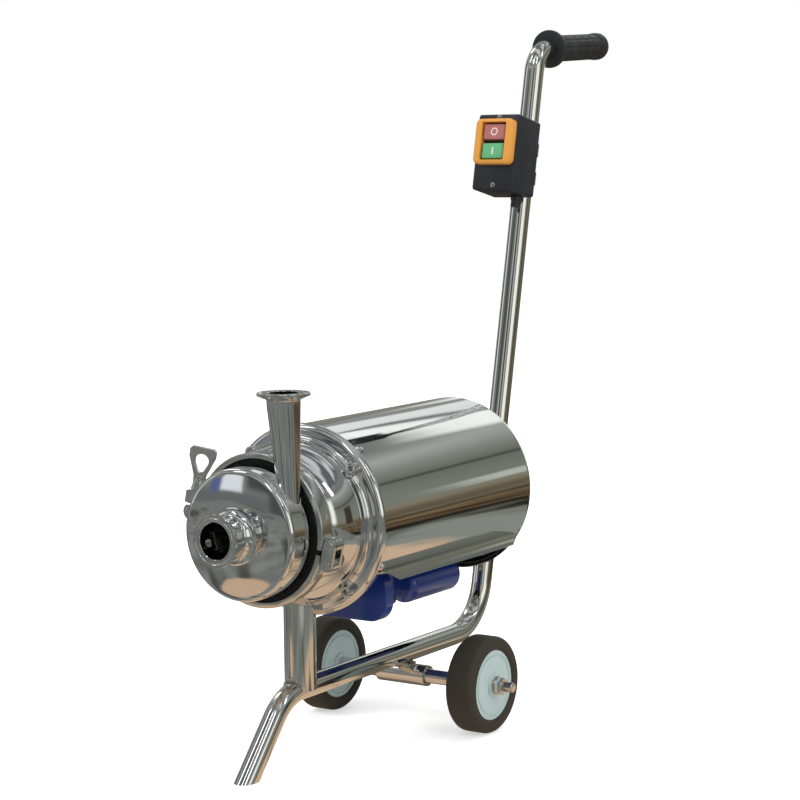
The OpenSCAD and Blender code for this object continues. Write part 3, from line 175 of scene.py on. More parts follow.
class Shading:
    """A node tree under construction, with one method for every kind of node."""

    def __init__(self, tree: bpy.types.NodeTree) -> None:
        """Starts on the emptied tree of a material or a world."""
        self.tree = tree
        tree.nodes.clear()

    def node(self, kind: str, settings: dict | None = None, inputs: dict | None = None) -> bpy.types.Node:
        """Adds a node.

        Args:
            kind: the node's type name.
            settings: properties to set first; "stops" are a ramp's (place, colour) pairs.
            inputs: values or links by socket name or index.

        Returns:
            The node.
        """
        made = self.tree.nodes.new(kind)
        for name, value in (settings or {}).items():
            if name == "stops":
                self._stops(made.color_ramp, value)
            else:
                setattr(made, name, value)
        for name, value in (inputs or {}).items():
            self.feed(made.inputs[name], value)
        return made

    def feed(self, slot: Socket, value: object) -> None:
        """Fills an input.

        Args:
            slot: the input.
            value: a Value or socket to link, or the input's own number, vector or colour.
        """
        if isinstance(value, Value):
            self.tree.links.new(value.socket, slot)
        elif isinstance(value, Socket):
            self.tree.links.new(value, slot)
        elif isinstance(value, tuple) and len(value) == 3 and slot.type == "RGBA":
            slot.default_value = (*value, 1.0)
        else:
            slot.default_value = value

    def _stops(self, ramp: bpy.types.ColorRamp, stops: Stops) -> None:
        """Lays a ramp's stops from low to high."""
        while len(ramp.elements) > 1:
            ramp.elements.remove(ramp.elements[-1])
        ramp.elements[0].position = stops[0][0]
        ramp.elements[0].color = (*stops[0][1], 1.0)
        for place, colour in stops[1:]:
            ramp.elements.new(place).color = (*colour, 1.0)

    def value(self, socket: Socket) -> Value:
        """The socket as a number for expressions."""
        return Value(self.tree, socket)

    def rays(self) -> list[Value]:
        """Two masks: seen by the camera itself, and seen in polished metal."""
        path = self.node("ShaderNodeLightPath")
        return [self.value(path.outputs[name]) for name in ("Is Camera Ray", "Is Glossy Ray")]

    def axes(self, vector: Socket) -> list[Value]:
        """X, Y and Z of a vector."""
        parts = self.node("ShaderNodeSeparateXYZ", None, {"Vector": vector})
        return [self.value(part) for part in parts.outputs]

    def plane(self, x: Value, y: Value) -> Socket:
        """A vector with two parts."""
        return self.node("ShaderNodeCombineXYZ", None, {"X": x, "Y": y}).outputs[0]

    def coordinates(self, scale: Point3 = (1.0, 1.0, 1.0)) -> Socket:
        """Object coordinates, stretched by a factor along each axis."""
        place = self.node("ShaderNodeTexCoord").outputs["Object"]
        return self.node("ShaderNodeMapping", None, {"Vector": place, "Scale": scale}).outputs["Vector"]

    def noise(self, vector: Socket, scale: float, detail: float) -> Value:
        """Cloudy noise from 0 to 1 at a scale per metre."""
        made = self.node("ShaderNodeTexNoise", None, {"Vector": vector, "Scale": scale, "Detail": detail})
        return self.value(made.outputs["Fac"])

    def ramp(self, factor: Value, stops: Stops) -> Socket:
        """Colour along a ramp."""
        return self.node("ShaderNodeValToRGB", {"stops": stops}, {"Fac": factor}).outputs["Color"]

    def mix(self, factor: Value, low: object, high: object) -> Socket:
        """Mix of two colours."""
        return self.node("ShaderNodeMix", {"data_type": "RGBA"}, {0: factor, 6: low, 7: high}).outputs[2]

    def bump(self, height: Value, strength: float, distance: float) -> Socket:
        """Normal bent by a height; the strength is its share that shows, the distance its depth in metres."""
        relief = {"Height": height, "Strength": strength, "Distance": distance}
        return self.node("ShaderNodeBump", None, relief).outputs["Normal"]


@dataclass(frozen=True)
class Finish:
    """A surface finish with its slot in the record; each kind writes its own nodes."""

    name: str
    slot: str
    colour: Rgb

    def material(self) -> bpy.types.Material:
        """The finish as a material, made once."""
        known = bpy.data.materials.get(self.name)
        if known:
            return known
        made = bpy.data.materials.new(self.name)
        made.use_nodes = True
        made.diffuse_color = (*self.colour, 1.0)
        shading = Shading(made.node_tree)
        skin = shading.node("ShaderNodeBsdfPrincipled", None, self.dress(shading))
        shading.node("ShaderNodeOutputMaterial", None, {"Surface": skin.outputs[0]})
        return made

    def dress(self, shading: Shading) -> dict[str, object]:
        """What the shader's sockets get."""
        raise NotImplementedError

    def darker(self, share: float) -> Rgb:
        """A share of the finish's colour."""
        return tuple(share * c for c in self.colour)


@dataclass(frozen=True)
class Polished(Finish):
    """Mirror-polished stainless sheet or casting, with buffing marks and a faint wave."""

    rough: float
    smear: float
    wave: float
    grain: Point3 = (1.0, 1.0, 1.0)
    ripple: float = 0.0

    def dress(self, shading: Shading) -> dict[str, object]:
        """Metal with smears in its roughness and a slow wave, with long ripples, in its surface."""
        place = shading.coordinates()
        streaks = shading.noise(shading.coordinates(self.grain), scale=90.0, detail=5.0)
        smears = shading.noise(place, scale=9.0, detail=4.0)
        relief = shading.noise(place, scale=7.0, detail=1.0) + 0.012 * streaks
        if self.ripple:
            long = shading.coordinates((1.0, 0.3, 1.0))
            relief = relief + self.ripple * shading.noise(long, scale=16.0, detail=2.0)
        return {"Base Color": shading.mix(smears, self.colour, self.darker(0.86)), "Metallic": 1.0,
                "Roughness": self.rough + self.smear * smears ** 2.0 + 0.03 * streaks,
                "Normal": shading.bump(relief, strength=0.35, distance=self.wave)}


@dataclass(frozen=True)
class Worked(Finish):
    """Cast, tumbled or turned bright steel."""

    rough: float
    pits: float
    pit_scale: float = 900.0

    def dress(self, shading: Shading) -> dict[str, object]:
        """Metal with a fine skin of pits."""
        place = shading.coordinates()
        fine = shading.noise(place, self.pit_scale, detail=3.0)
        broad = shading.noise(place, scale=60.0, detail=3.0)
        return {"Base Color": shading.mix(broad, self.darker(0.72), self.colour), "Metallic": 1.0,
                "Roughness": self.rough + 0.16 * broad,
                "Normal": shading.bump(fine, self.pits, distance=0.0002)}


@dataclass(frozen=True)
class Enamel(Finish):
    """Stoved gloss enamel with a little orange peel."""

    def dress(self, shading: Shading) -> dict[str, object]:
        """Paint with a clear gloss."""
        place = shading.coordinates()
        peel = shading.noise(place, scale=420.0, detail=2.0)
        cloud = shading.noise(place, scale=22.0, detail=3.0)
        return {"Base Color": shading.mix(cloud, self.darker(0.7), self.colour),
                "Roughness": 0.18 + 0.12 * cloud, "Coat Weight": 0.6, "Coat Roughness": 0.12,
                "Normal": shading.bump(peel, strength=0.25, distance=0.0002)}


@dataclass(frozen=True)
class Moulded(Finish):
    """Moulded plastic or rubber with a fine grain."""

    rough: float
    grain_scale: float = 1500.0
    grain_depth: float = 0.3
    dust: float = 0.15
    shine: float = 0.5

    def dress(self, shading: Shading) -> dict[str, object]:
        """Plastic with grain and a breath of grey dust."""
        place = shading.coordinates()
        grain = shading.noise(place, self.grain_scale, detail=2.0)
        cloud = shading.noise(place, scale=35.0, detail=4.0)
        dusty = tuple(c + (0.5 - c) * self.dust for c in self.colour)
        return {"Base Color": shading.mix(cloud ** 2.0, self.colour, dusty),
                "Roughness": self.rough + 0.18 * cloud, "Specular IOR Level": self.shine,
                "Normal": shading.bump(grain, self.grain_depth, distance=0.00015)}


class Finishes:
    """Every finish on the pump: name, slot, colour and then the kind's own measures in order."""

    SHEET = Polished("polished_sheet", "polished_steel", (0.74, 0.75, 0.74), 0.035, 0.05, 0.0006,
                     (1.0, 0.08, 1.0), 0.5)
    BOWL = Polished("polished_bowl", "polished_steel", (0.74, 0.75, 0.75), 0.035, 0.04, 0.0004)
    TUBE = Polished("polished_tube", "polished_steel", (0.74, 0.74, 0.72), 0.06, 0.08, 0.0005)
    CAST = Worked("tumbled_casting", "cast_steel", (0.8, 0.8, 0.78), 0.24, 0.35)
    BAND = Worked("polished_casting", "cast_steel", (0.74, 0.74, 0.73), 0.06, 0.08, 500.0)
    TURNED = Worked("turned_steel", "bright_fasteners", (0.76, 0.76, 0.74), 0.09, 0.1, 1600.0)
    WELD = Worked("weld_bead", "polished_steel", (0.62, 0.6, 0.56), 0.26, 0.4, 700.0)
    BLUE = Enamel("navy_enamel", "motor_blue", (0.008, 0.032, 0.19))
    BLACK_RUBBER = Moulded("black_rubber", "seal_rubber", (0.012, 0.013, 0.015), 0.34, 1100.0, 0.25, 0.06)
    # Near-black gasket: black rubber, darker than the other rubber, so that its lip in the gap before the
    # clamp also paints that gap's shade.
    GASKET_AND_GAP_SHADE = Moulded("gasket_rubber_and_gap_shade", "seal_rubber", (0.004, 0.004, 0.004), 0.7, 1100.0, 0.2, 0.01)
    TYRE = Moulded("dark_tyre", "tyre_rubber", (0.036, 0.03, 0.021), 0.56, 900.0, 0.4, 0.03, 0.35)
    HUB = Moulded("hub_plastic", "wheel_grey", (0.45, 0.56, 0.55), 0.42, 1300.0, 0.2, 0.06)
    BOX = Moulded("box_plastic", "black_plastic", (0.014, 0.017, 0.022), 0.24, 1700.0, 0.3, 0.04)
    ORANGE = Moulded("bezel_plastic", "bezel_orange", (0.7, 0.3, 0.045), 0.28, 2000.0, 0.1, 0.06)
    RED = Moulded("stop_plastic", "stop_red", (0.42, 0.13, 0.12), 0.32, 2000.0, 0.1, 0.22)
    GREEN = Moulded("start_plastic", "start_green", (0.1, 0.42, 0.18), 0.32, 2000.0, 0.1, 0.12)
    MARK = Moulded("button_mark", "", (0.75, 0.72, 0.7), 0.4, 2000.0, 0.1, 0.1)
    IRON = Worked("stacked_iron", "core_iron", (0.25, 0.25, 0.25), 0.4, 0.4)
    COPPER = Worked("coil_copper", "copper", (0.72, 0.36, 0.16), 0.3, 0.6, 500.0)
    CARBON = Moulded("seal_carbon", "carbon", (0.03, 0.03, 0.03), 0.3)
    CERAMIC = Moulded("seal_ceramic", "ceramic", (0.82, 0.8, 0.74), 0.2, 2000.0, 0.05, 0.02)


# Shapes


def turns(count: int) -> list[float]:
    """Angles in radians of even steps round a full turn."""
    return [2 * math.pi * k / count for k in range(count)]


def polar(degrees: float, length: float = 1.0) -> Vector:
    """A flat vector of some length at an angle."""
    return Vector((length * math.cos(math.radians(degrees)), length * math.sin(math.radians(degrees))))


def arc(centre: Sequence[float], radius: float, start: float, end: float, steps: int = 8) -> list[Point2]:
    """Points on an arc, from a start to an end angle in degrees, with so many chords between them."""
    turn = [math.radians(start + (end - start) * i / steps) for i in range(steps + 1)]
    return [(centre[0] + radius * math.cos(a), centre[1] + radius * math.sin(a)) for a in turn]


def rounded(points: Sequence[Point2], radius: float, steps: int = 4, closed: bool = True) -> list[Point2]:
    """Breaks the corners of an outline with small curves.

    Args:
        points: the outline's corners.
        radius: the wanted radius; short edges get a smaller one.
        steps: chords in each corner.
        closed: whether the last corner joins the first.

    Returns:
        The softened outline.
    """
    straight, share = math.radians(8), 0.45
    count = len(points)
    made: list[Point2] = []
    for i, corner in enumerate(points):
        here = Vector(corner)
        before = Vector(points[i - 1]) - here
        after = Vector(points[(i + 1) % count]) - here
        turn = before.angle(after, math.pi)
        if (not closed and i in (0, count - 1)) or abs(math.pi - turn) < straight:
            made.append(corner)
            continue
        reach = min(radius / math.tan(turn / 2), share * before.length, share * after.length)
        first, last = here + before.normalized() * reach, here + after.normalized() * reach
        for k in range(steps + 1):
            t = k / steps
            point = first * (1 - t) ** 2 + here * (2 * t * (1 - t)) + last * t * t
            made.append((point.x, point.y))
    return made


def bent(corners: Sequence[Vector], radii: Sequence[float], steps: int = 28) -> list[Vector]:
    """A line through corners with arcs in them.

    Args:
        corners: flat points; the first and last are ends.
        radii: bend radius at each inner corner.
        steps: chords in each bend.

    Returns:
        The line's points.
    """
    made = [corners[0]]
    for i, radius in enumerate(radii, start=1):
        here = corners[i]
        back = (corners[i - 1] - here).normalized()
        ahead = (corners[i + 1] - here).normalized()
        half = back.angle(ahead) / 2
        centre = here + (back + ahead).normalized() * (radius / math.sin(half))
        first = here + back * (radius / math.tan(half)) - centre
        turn = math.pi - 2 * half
        sense = 1.0 if back.x * ahead.y - back.y * ahead.x < 0 else -1.0
        for k in range(steps + 1):
            a = sense * turn * k / steps
            made.append(centre + Vector((first.x * math.cos(a) - first.y * math.sin(a),
                                         first.x * math.sin(a) + first.y * math.cos(a))))
    return made + [corners[-1]]


def outline(width: float, height: float, radius: float) -> list[Point2]:
    """Rectangle about the origin with round corners."""
    w, h = width / 2 - radius, height / 2 - radius
    points: list[Point2] = []
    for cx, cy, start in ((w, h, 0), (-w, h, 90), (-w, -h, 180), (w, -h, 270)):
        points += arc((cx, cy), radius, start, start + 90)
    return points


def linked(name: str, data: bpy.types.ID) -> Object:
    """A new object in the scene that shows some data."""
    made = bpy.data.objects.new(name, data)
    bpy.context.scene.collection.objects.link(made)
    return made


def mesh_object(name: str, work: bmesh.types.BMesh, angle: float = SHARP) -> Object:
    """Turns a bmesh into an object at the origin, shaded smooth.

    Args:
        name: the object's name.
        work: the shape, in metres and in the row frame; it is freed.
        angle: edges sharper than this stay sharp.

    Returns:
        The object.
    """
    bmesh.ops.remove_doubles(work, verts=work.verts, dist=1e-6)
    bmesh.ops.recalc_face_normals(work, faces=work.faces)
    mesh = bpy.data.meshes.new(name)
    work.to_mesh(mesh)
    work.free()
    mesh.shade_smooth()
    mesh.set_sharp_from_angle(angle=math.radians(angle))
    return linked(name, mesh)


def grid(work: bmesh.types.BMesh, rows: Sequence[Sequence[Vector]], close_rows: bool,
         close_columns: bool) -> None:
    """Adds a skin over rows of points.

    Args:
        work: the bmesh to add to.
        rows: rows of the same length.
        close_rows: whether the last point of a row joins the first.
        close_columns: whether the last row joins the first.
    """
    verts = [[work.verts.new(p) for p in row] for row in rows]
    row_count, width = len(rows), len(rows[0])
    for i in range(row_count if close_columns else row_count - 1):
        low, high = verts[i], verts[(i + 1) % row_count]
        for j in range(width if close_rows else width - 1):
            k = (j + 1) % width
            corners = {tuple(v.co): v for v in (low[j], low[k], high[k], high[j])}
            if len(corners) > 2:
                work.faces.new(list(corners.values()))


def lathe(name: str, profile: Sequence[Point2], place: Matrix, closed: bool = True,
          segments: int = 160) -> Object:
    """Turns a half profile about an axis.

    Args:
        name: the object's name.
        profile: (radius, height) points in millimetres.
        place: takes the local axis Z, in millimetres, to the row frame in metres.
        closed: whether the profile is a ring.
        segments: steps round the turn.

    Returns:
        The object.
    """
    work = bmesh.new()
    grid(work, [[place @ Vector((r * math.cos(a), r * math.sin(a), h)) for r, h in profile]
                for a in turns(segments)], closed, True)
    return mesh_object(name, work)


def slab(name: str, width: float, height: float, corner: float, levels: Sequence[Point2],
         place: Matrix) -> Object:
    """A rounded rectangle drawn up through levels, closed at both ends.

    Args:
        name: the object's name.
        width: of the outline, in millimetres.
        height: of the outline.
        corner: its corner radius.
        levels: (inset, height) pairs from one end to the other.
        place: takes local millimetres, with Z along the levels, to the row frame in metres.

    Returns:
        The object.
    """
    least = 0.4
    rows = []
    for inset, level in levels:
        ring = outline(width - 2 * inset, height - 2 * inset, max(corner - inset, least))
        rows.append([place @ Vector((x, y, level)) for x, y in ring])
    work = bmesh.new()
    grid(work, rows, True, False)
    for row in (rows[0], rows[-1]):
        work.faces.new([work.verts.new(p) for p in row])
    return mesh_object(name, work)


def smooth_copy(node: str, angle: float, bevel: float) -> Object:
    """A merged and smoothly shaded copy of a solid.

    Args:
        node: the solid's name.
        angle: edges sharper than this stay sharp or get the bevel.
        bevel: width of softened edges in millimetres, 0 for none.

    Returns:
        The copy.
    """
    work = bmesh.new()
    work.from_mesh(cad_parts[node].data)
    bmesh.ops.remove_doubles(work, verts=work.verts, dist=2e-6)
    bmesh.ops.dissolve_limit(work, angle_limit=math.radians(0.5), verts=work.verts, edges=work.edges)
    if bevel:
        least = math.radians(angle)
        sharp = [e for e in work.edges if len(e.link_faces) == 2 and e.calc_face_angle(0.0) > least]
        bmesh.ops.bevel(work, geom=sharp, offset=bevel * MM, segments=2, profile=0.5, affect="EDGES",
                        clamp_overlap=True)
    return mesh_object(node + "_skin", work, angle)


def finish_piece(piece: Object, finish: Finish, *nodes: str, body: Body = Body.CART,
                 slot: str = "") -> None:
    """Paints a piece, hangs it on its body and lets it stand for solids.

    Args:
        piece: the object.
        finish: its finish.
        nodes: the solids that it replaces.
        body: the body that it moves with.
        slot: the record's material slot, where it isn't the finish's own; it is not used.
    """
    slot = slot or finish.slot
    piece.data.materials.clear()
    piece.data.materials.append(finish.material())
    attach(piece, body.value)
    if nodes:
        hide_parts(*nodes)
    log.info("%s: %d faces on %s", piece.name, len(piece.data.polygons), body.value)


def dress_solids(finish: Finish, *nodes: str, bevel: float = 0.0, angle: float = SHARP_BEVEL,
                 body: Body = Body.CART, slot: str = "") -> None:
    """Stands a smooth copy, with edges softened by a bevel in millimetres, in for each of some solids."""
    for node in nodes:
        finish_piece(smooth_copy(node, angle, bevel), finish, node, body=body, slot=slot)


def station(x: float, y: float, z: float) -> Vector:
    """A point of the row frame, in metres, from its x, station and height."""
    return Vector((x * MM, ROOT_Y + y * MM, z * MM))


def along_y() -> Matrix:
    """Local axis Z on the pump axis, with heights as stations."""
    turn = Matrix.Rotation(math.radians(-90), 4, "X")
    return Matrix.Translation((0.0, ROOT_Y, AXIS_Z)) @ turn @ Matrix.Scale(MM, 4)


# Repeats


class BeadTree:
    """Node tree that strings weld ripples along the edges of a mesh path."""

    NAME = "weld_ripples"
    INPUTS = (("Geometry", "Geometry"), ("Spacing", "Float"), ("Radius", "Float"), ("Finish", "Material"))
    NODES = {"start": "NodeGroupInput", "curve": "GeometryNodeMeshToCurve",
             "points": "GeometryNodeCurveToPoints", "ripple": "GeometryNodeMeshIcoSphere",
             "squash": "GeometryNodeTransform", "drop": "GeometryNodeInstanceOnPoints",
             "real": "GeometryNodeRealizeInstances", "shade": "GeometryNodeSetShadeSmooth",
             "paint": "GeometryNodeSetMaterial", "end": "NodeGroupOutput"}
    LINKS = (("start", "Geometry", "curve", "Mesh"), ("curve", "Curve", "points", "Curve"),
             ("start", "Spacing", "points", "Length"), ("start", "Radius", "ripple", "Radius"),
             ("ripple", "Mesh", "squash", "Geometry"), ("points", "Points", "drop", "Points"),
             ("points", "Rotation", "drop", "Rotation"), ("squash", "Geometry", "drop", "Instance"),
             ("drop", "Instances", "real", "Geometry"), ("real", "Geometry", "shade", "Geometry"),
             ("shade", "Geometry", "paint", "Geometry"), ("start", "Finish", "paint", "Material"),
             ("paint", "Geometry", "end", "Geometry"))
    FLAT = 0.62

    def __init__(self) -> None:
        """Builds the tree once."""
        self.tree = bpy.data.node_groups.new(self.NAME, "GeometryNodeTree")
        face = self.tree.interface
        self.inputs = {}
        for name, kind in self.INPUTS:
            made = face.new_socket(name, in_out="INPUT", socket_type="NodeSocket" + kind)
            self.inputs[name] = made.identifier
        face.new_socket("Geometry", in_out="OUTPUT", socket_type="NodeSocketGeometry")
        nodes = {name: self.tree.nodes.new(kind) for name, kind in self.NODES.items()}
        nodes["points"].mode = "LENGTH"
        nodes["ripple"].inputs["Subdivisions"].default_value = 2
        nodes["squash"].inputs["Scale"].default_value = (1.0, 1.0, self.FLAT)
        for source, output, target, slot in self.LINKS:
            self.tree.links.new(nodes[source].outputs[output], nodes[target].inputs[slot])

    def lay(self, name: str, path: Sequence[Vector], spacing: float, radius: float, finish: Finish,
            closed: bool = False) -> None:
        """Lays one bead on the cart, as a plain mesh.

        Args:
            name: the bead's name.
            path: points in metres in the row frame.
            spacing: distance between ripples in millimetres.
            radius: radius of a ripple in millimetres.
            finish: the bead's finish.
            closed: whether the path is a loop.
        """
        mesh = bpy.data.meshes.new(name + "_path")
        edges = [(i, i + 1) for i in range(len(path) - 1)]
        mesh.from_pydata([tuple(p) for p in path], edges + ([(len(path) - 1, 0)] if closed else []), [])
        source = linked(name + "_path", mesh)
        ripples = source.modifiers.new(self.NAME, "NODES")
        ripples.node_group = self.tree
        ripples[self.inputs["Spacing"]] = spacing * MM
        ripples[self.inputs["Radius"]] = radius * MM
        ripples[self.inputs["Finish"]] = finish.material()
        bpy.context.view_layer.update()
        solid = bpy.data.meshes.new_from_object(source.evaluated_get(bpy.context.evaluated_depsgraph_get()))
        source.modifiers.remove(ripples)
        bpy.data.objects.remove(source)
        solid.name = name
        finish_piece(linked(name, solid), finish)


# Sub-assemblies


@dataclass
class PumpHead:
    """Bowl, nozzles, gasket and discharge pipe."""

    ferrule_r: float = 25.25
    rim_t: float = 2.85
    rim_edge: float = 0.5
    rim_slope: float = 0.6
    groove_in: float = 3.5
    groove_r: float = 1.6
    groove_share: float = 0.75
    taper: float = 20.0
    neck_r: float = 2.0
    neck_lift: float = 1.6
    inlet_bore: float = 17.5
    inlet_r: float = 19.0
    flare: float = 10.0
    face_y: float = 30.0
    front_y: float = 34.0
    face_swell: float = 0.55
    face_steps: int = 14
    edge_r: float = 6.0
    edge_from: float = -76.0
    bowl_r: float = 63.75
    bowl_t: float = 2.0
    root_r: float = 2.0
    flange_y: float = 71.5
    joint_y: float = 74.75
    flange_r: float = 71.0
    plate_y: float = 76.75
    gasket_lip: float = 2.0
    gasket_over: float = 1.0
    outlet_z: float = 374.0
    outlet_l: float = 12.0
    outlet_bore: float = 14.5
    outlet_r: float = 16.0
    pipe_base_r: float = 8.75
    pipe_base: Point2 = (47.25, 253.5)
    pipe_top_x: float = 41.564
    pipe_y: float = 55.25
    pipe_steps: int = 40
    pipe_sides: int = 96
    pipe_bore: float = 0.9
    cope: float = 0.5
    seam_sides: int = 72
    seam_tries: int = 24

    def ferrule(self, bore: float, outside: float) -> list[Point2]:
        """Half profile of a clamp ferrule from its bore to the tube's outside.

        Args:
            bore: radius of the bore.
            outside: radius of the tube behind it.

        Returns:
            The profile, with its face at height 0.
        """
        groove, edge = self.ferrule_r - self.groove_in, self.rim_edge
        rim_r, rim_t = self.ferrule_r, self.rim_t
        dip = [(r, -self.groove_share * h) for r, h in arc((groove, 0.0), self.groove_r, 180, 360)]
        rise = rim_t + (rim_r - outside) * math.tan(math.radians(self.taper)) + self.neck_lift
        return ([(bore, edge), (bore + edge, 0.0), (groove - self.groove_r, 0.0)] + dip
                + [(rim_r - edge, 0.0), (rim_r, edge), (rim_r, rim_t - edge), (rim_r - self.rim_slope, rim_t)]
                + arc((outside + self.neck_r, rise), self.neck_r, 250, 180, 5))

    def build(self, beads: BeadTree) -> None:
        """Makes and dresses the pieces, with the weld round the pipe's foot laid by the given tree."""
        self.inlet()
        self.bowl()
        self.gasket()
        self.discharge()
        self.outlet()
        self.seam(beads)

    def inlet(self) -> None:
        """The inlet nozzle, flared into the bowl's face."""
        centre = (self.inlet_r + self.flare, self.face_y - self.flare)
        nozzle = (self.ferrule(self.inlet_bore, self.inlet_r) + arc(centre, self.flare, 180, 90, 12)
                  + arc(centre, self.flare + self.inlet_r - self.inlet_bore, 90, 180, 12))
        finish_piece(lathe("inlet_nozzle_skin", nozzle, along_y()), Finishes.BOWL, "inlet_nozzle")

    def bowl(self) -> None:
        """The drawn bowl with its rolled edge and joint flange."""
        flare_r, out = self.inlet_r + self.flare, self.flange_r
        low, high = self.flange_y, self.joint_y
        edge = (self.bowl_r - self.edge_r, self.front_y + self.edge_r)
        root = (self.bowl_r + self.root_r, low - self.root_r)
        flange = [(out - 1, low), (out, low), (out, high), (out - 1, high)]
        bowl = (self.face(flare_r, edge) + arc(edge, self.edge_r, self.edge_from, 0, 12)
                + arc(root, self.root_r, 180, 90, 5) + rounded(flange, 0.5, 3, False)
                + [(self.bowl_r - self.bowl_t, high)] + arc(edge, self.edge_r - self.bowl_t, 0, -90, 10)
                + [(flare_r, self.face_y + self.bowl_t)])
        finish_piece(lathe("pump_bowl_skin", bowl, along_y(), segments=192), Finishes.BOWL, "pump_casing")

    def face(self, flare_r: float, edge: Point2) -> list[Point2]:
        """The bowl's shallow face, which swells a little between the inlet flare and the edge.

        Args:
            flare_r: radius at which the inlet flare ends.
            edge: middle of the rolled edge.

        Returns:
            The face's profile, without its last point.
        """
        first = Vector((flare_r, self.face_y))
        last = Vector(arc(edge, self.edge_r, self.edge_from, 0, 1)[0])
        out = Vector((last.y - first.y, first.x - last.x)).normalized()
        made = []
        for i in range(self.face_steps):
            t = i / self.face_steps
            point = first.lerp(last, t) + out * (4.0 * self.face_swell * t * (1.0 - t))
            made.append((point.x, point.y))
        return made

    def gasket(self) -> None:
        """The rubber ring in the joint, with a lip over the bowl's flange; its near-black also paints the
        shade in the gap.
        """
        inner, under, neck = self.bowl_r - self.bowl_t, self.flange_r + 0.02, self.bowl_r + 0.1
        over, lip_y = self.flange_r + self.gasket_over, self.flange_y - self.gasket_lip
        gasket = rounded([(inner, self.joint_y), (under, self.joint_y), (under, self.flange_y),
                          (neck, self.flange_y), (neck, lip_y), (over, lip_y), (over, self.plate_y),
                          (inner, self.plate_y)], 0.3, 2)
        finish_piece(lathe("joint_gasket_skin", gasket, along_y()), Finishes.GASKET_AND_GAP_SHADE, "casing_gasket")

    def outlet(self) -> None:
        """The clamp ferrule on the pipe's top."""
        ferrule = self.ferrule(self.outlet_bore, self.outlet_r)
        ferrule += [(self.outlet_r, self.outlet_l), (self.outlet_bore, self.outlet_l)]
        spot = Matrix.Translation(station(self.pipe_top_x, self.pipe_y, self.outlet_z))
        up = spot @ Matrix.Scale(MM, 4) @ Matrix.Scale(-1, 4, (0, 0, 1))
        finish_piece(lathe("outlet_ferrule_skin", ferrule, up), Finishes.BOWL, "outlet_ferrule")

    def pipe_axis(self) -> tuple[Vector, Vector]:
        """Foot and direction of the leaning pipe in metres."""
        foot = station(self.pipe_base[0], self.pipe_y, self.pipe_base[1])
        return foot, station(self.pipe_top_x, self.pipe_y, self.outlet_z - self.outlet_l) - foot

    def section(self, share: float) -> tuple[Vector, float]:
        """Middle and outside radius of the pipe, in metres, at a share of its run."""
        foot, run = self.pipe_axis()
        return foot + run * share, (self.pipe_base_r + (self.outlet_r - self.pipe_base_r) * share) * MM

    def ring(self, share: float, part: float) -> list[Vector]:
        """Points round the pipe at a share of its run and a part of its outside radius."""
        centre, radius = self.section(share)
        return [centre + part * radius * Vector((math.cos(a), math.sin(a), 0.0))
                for a in turns(self.pipe_sides)]

    def discharge(self) -> None:
        """The conical pipe, cut level under its ferrule and hidden in the bowl below."""
        way = [i / self.pipe_steps for i in range(self.pipe_steps + 1)]
        rings = [self.ring(t, 1.0) for t in way] + [self.ring(t, self.pipe_bore) for t in reversed(way)]
        work = bmesh.new()
        grid(work, [self.coped(column) for column in zip(*rings)], True, True)
        finish_piece(mesh_object("discharge_pipe_skin", work), Finishes.BOWL, "discharge_pipe")

    def coped(self, column: Sequence[Vector]) -> list[Vector]:
        """Stops one generator of the pipe at the bowl's wall."""
        wall = (self.bowl_r - self.cope) * MM
        made = []
        for p in column:
            x, z = p.x, p.z - AXIS_Z
            if math.hypot(x, z) < wall:
                z = max(z, math.sqrt(max(wall ** 2 - x ** 2, 0.0)))
            made.append(Vector((x, p.y, AXIS_Z + z)))
        return made

    def seam(self, beads: BeadTree) -> None:
        """A slim dressed weld round the foot of the pipe, found by a few steps up to the bowl's wall."""
        foot, run = self.pipe_axis()
        path = []
        for a in turns(self.seam_sides):
            point = foot
            for _ in range(self.seam_tries):
                centre, radius = self.section((point.z - foot.z) / run.z)
                x = centre.x + radius * math.cos(a)
                z = AXIS_Z + math.sqrt(max((self.bowl_r * MM) ** 2 - x ** 2, 0.0))
                point = Vector((x, centre.y + radius * math.sin(a), z))
            path.append(point)
        beads.lay("discharge_weld", path, spacing=1.1, radius=1.0, finish=Finishes.BOWL, closed=True)


@dataclass
class Clamp:
    """Channelled two-part clamp with hinge links, swing bolt and loop nut."""

    band_edge: float = 0.7
    pin_edge: float = 0.8
    bolt_edge: float = 0.4
    nut_edge: float = 1.1

    def build(self) -> None:
        """Dresses the clamp from its solids, with softened edges."""
        dress_solids(Finishes.BAND, "clamp_upper_half", "clamp_lower_half", "clamp_hinge_links",
                     bevel=self.band_edge)
        dress_solids(Finishes.TURNED, "clamp_pins", bevel=self.pin_edge)
        dress_solids(Finishes.TURNED, "swing_bolt", bevel=self.bolt_edge, body=Body.BOLT)
        dress_solids(Finishes.CAST, "wing_nut", bevel=self.nut_edge, body=Body.NUT)


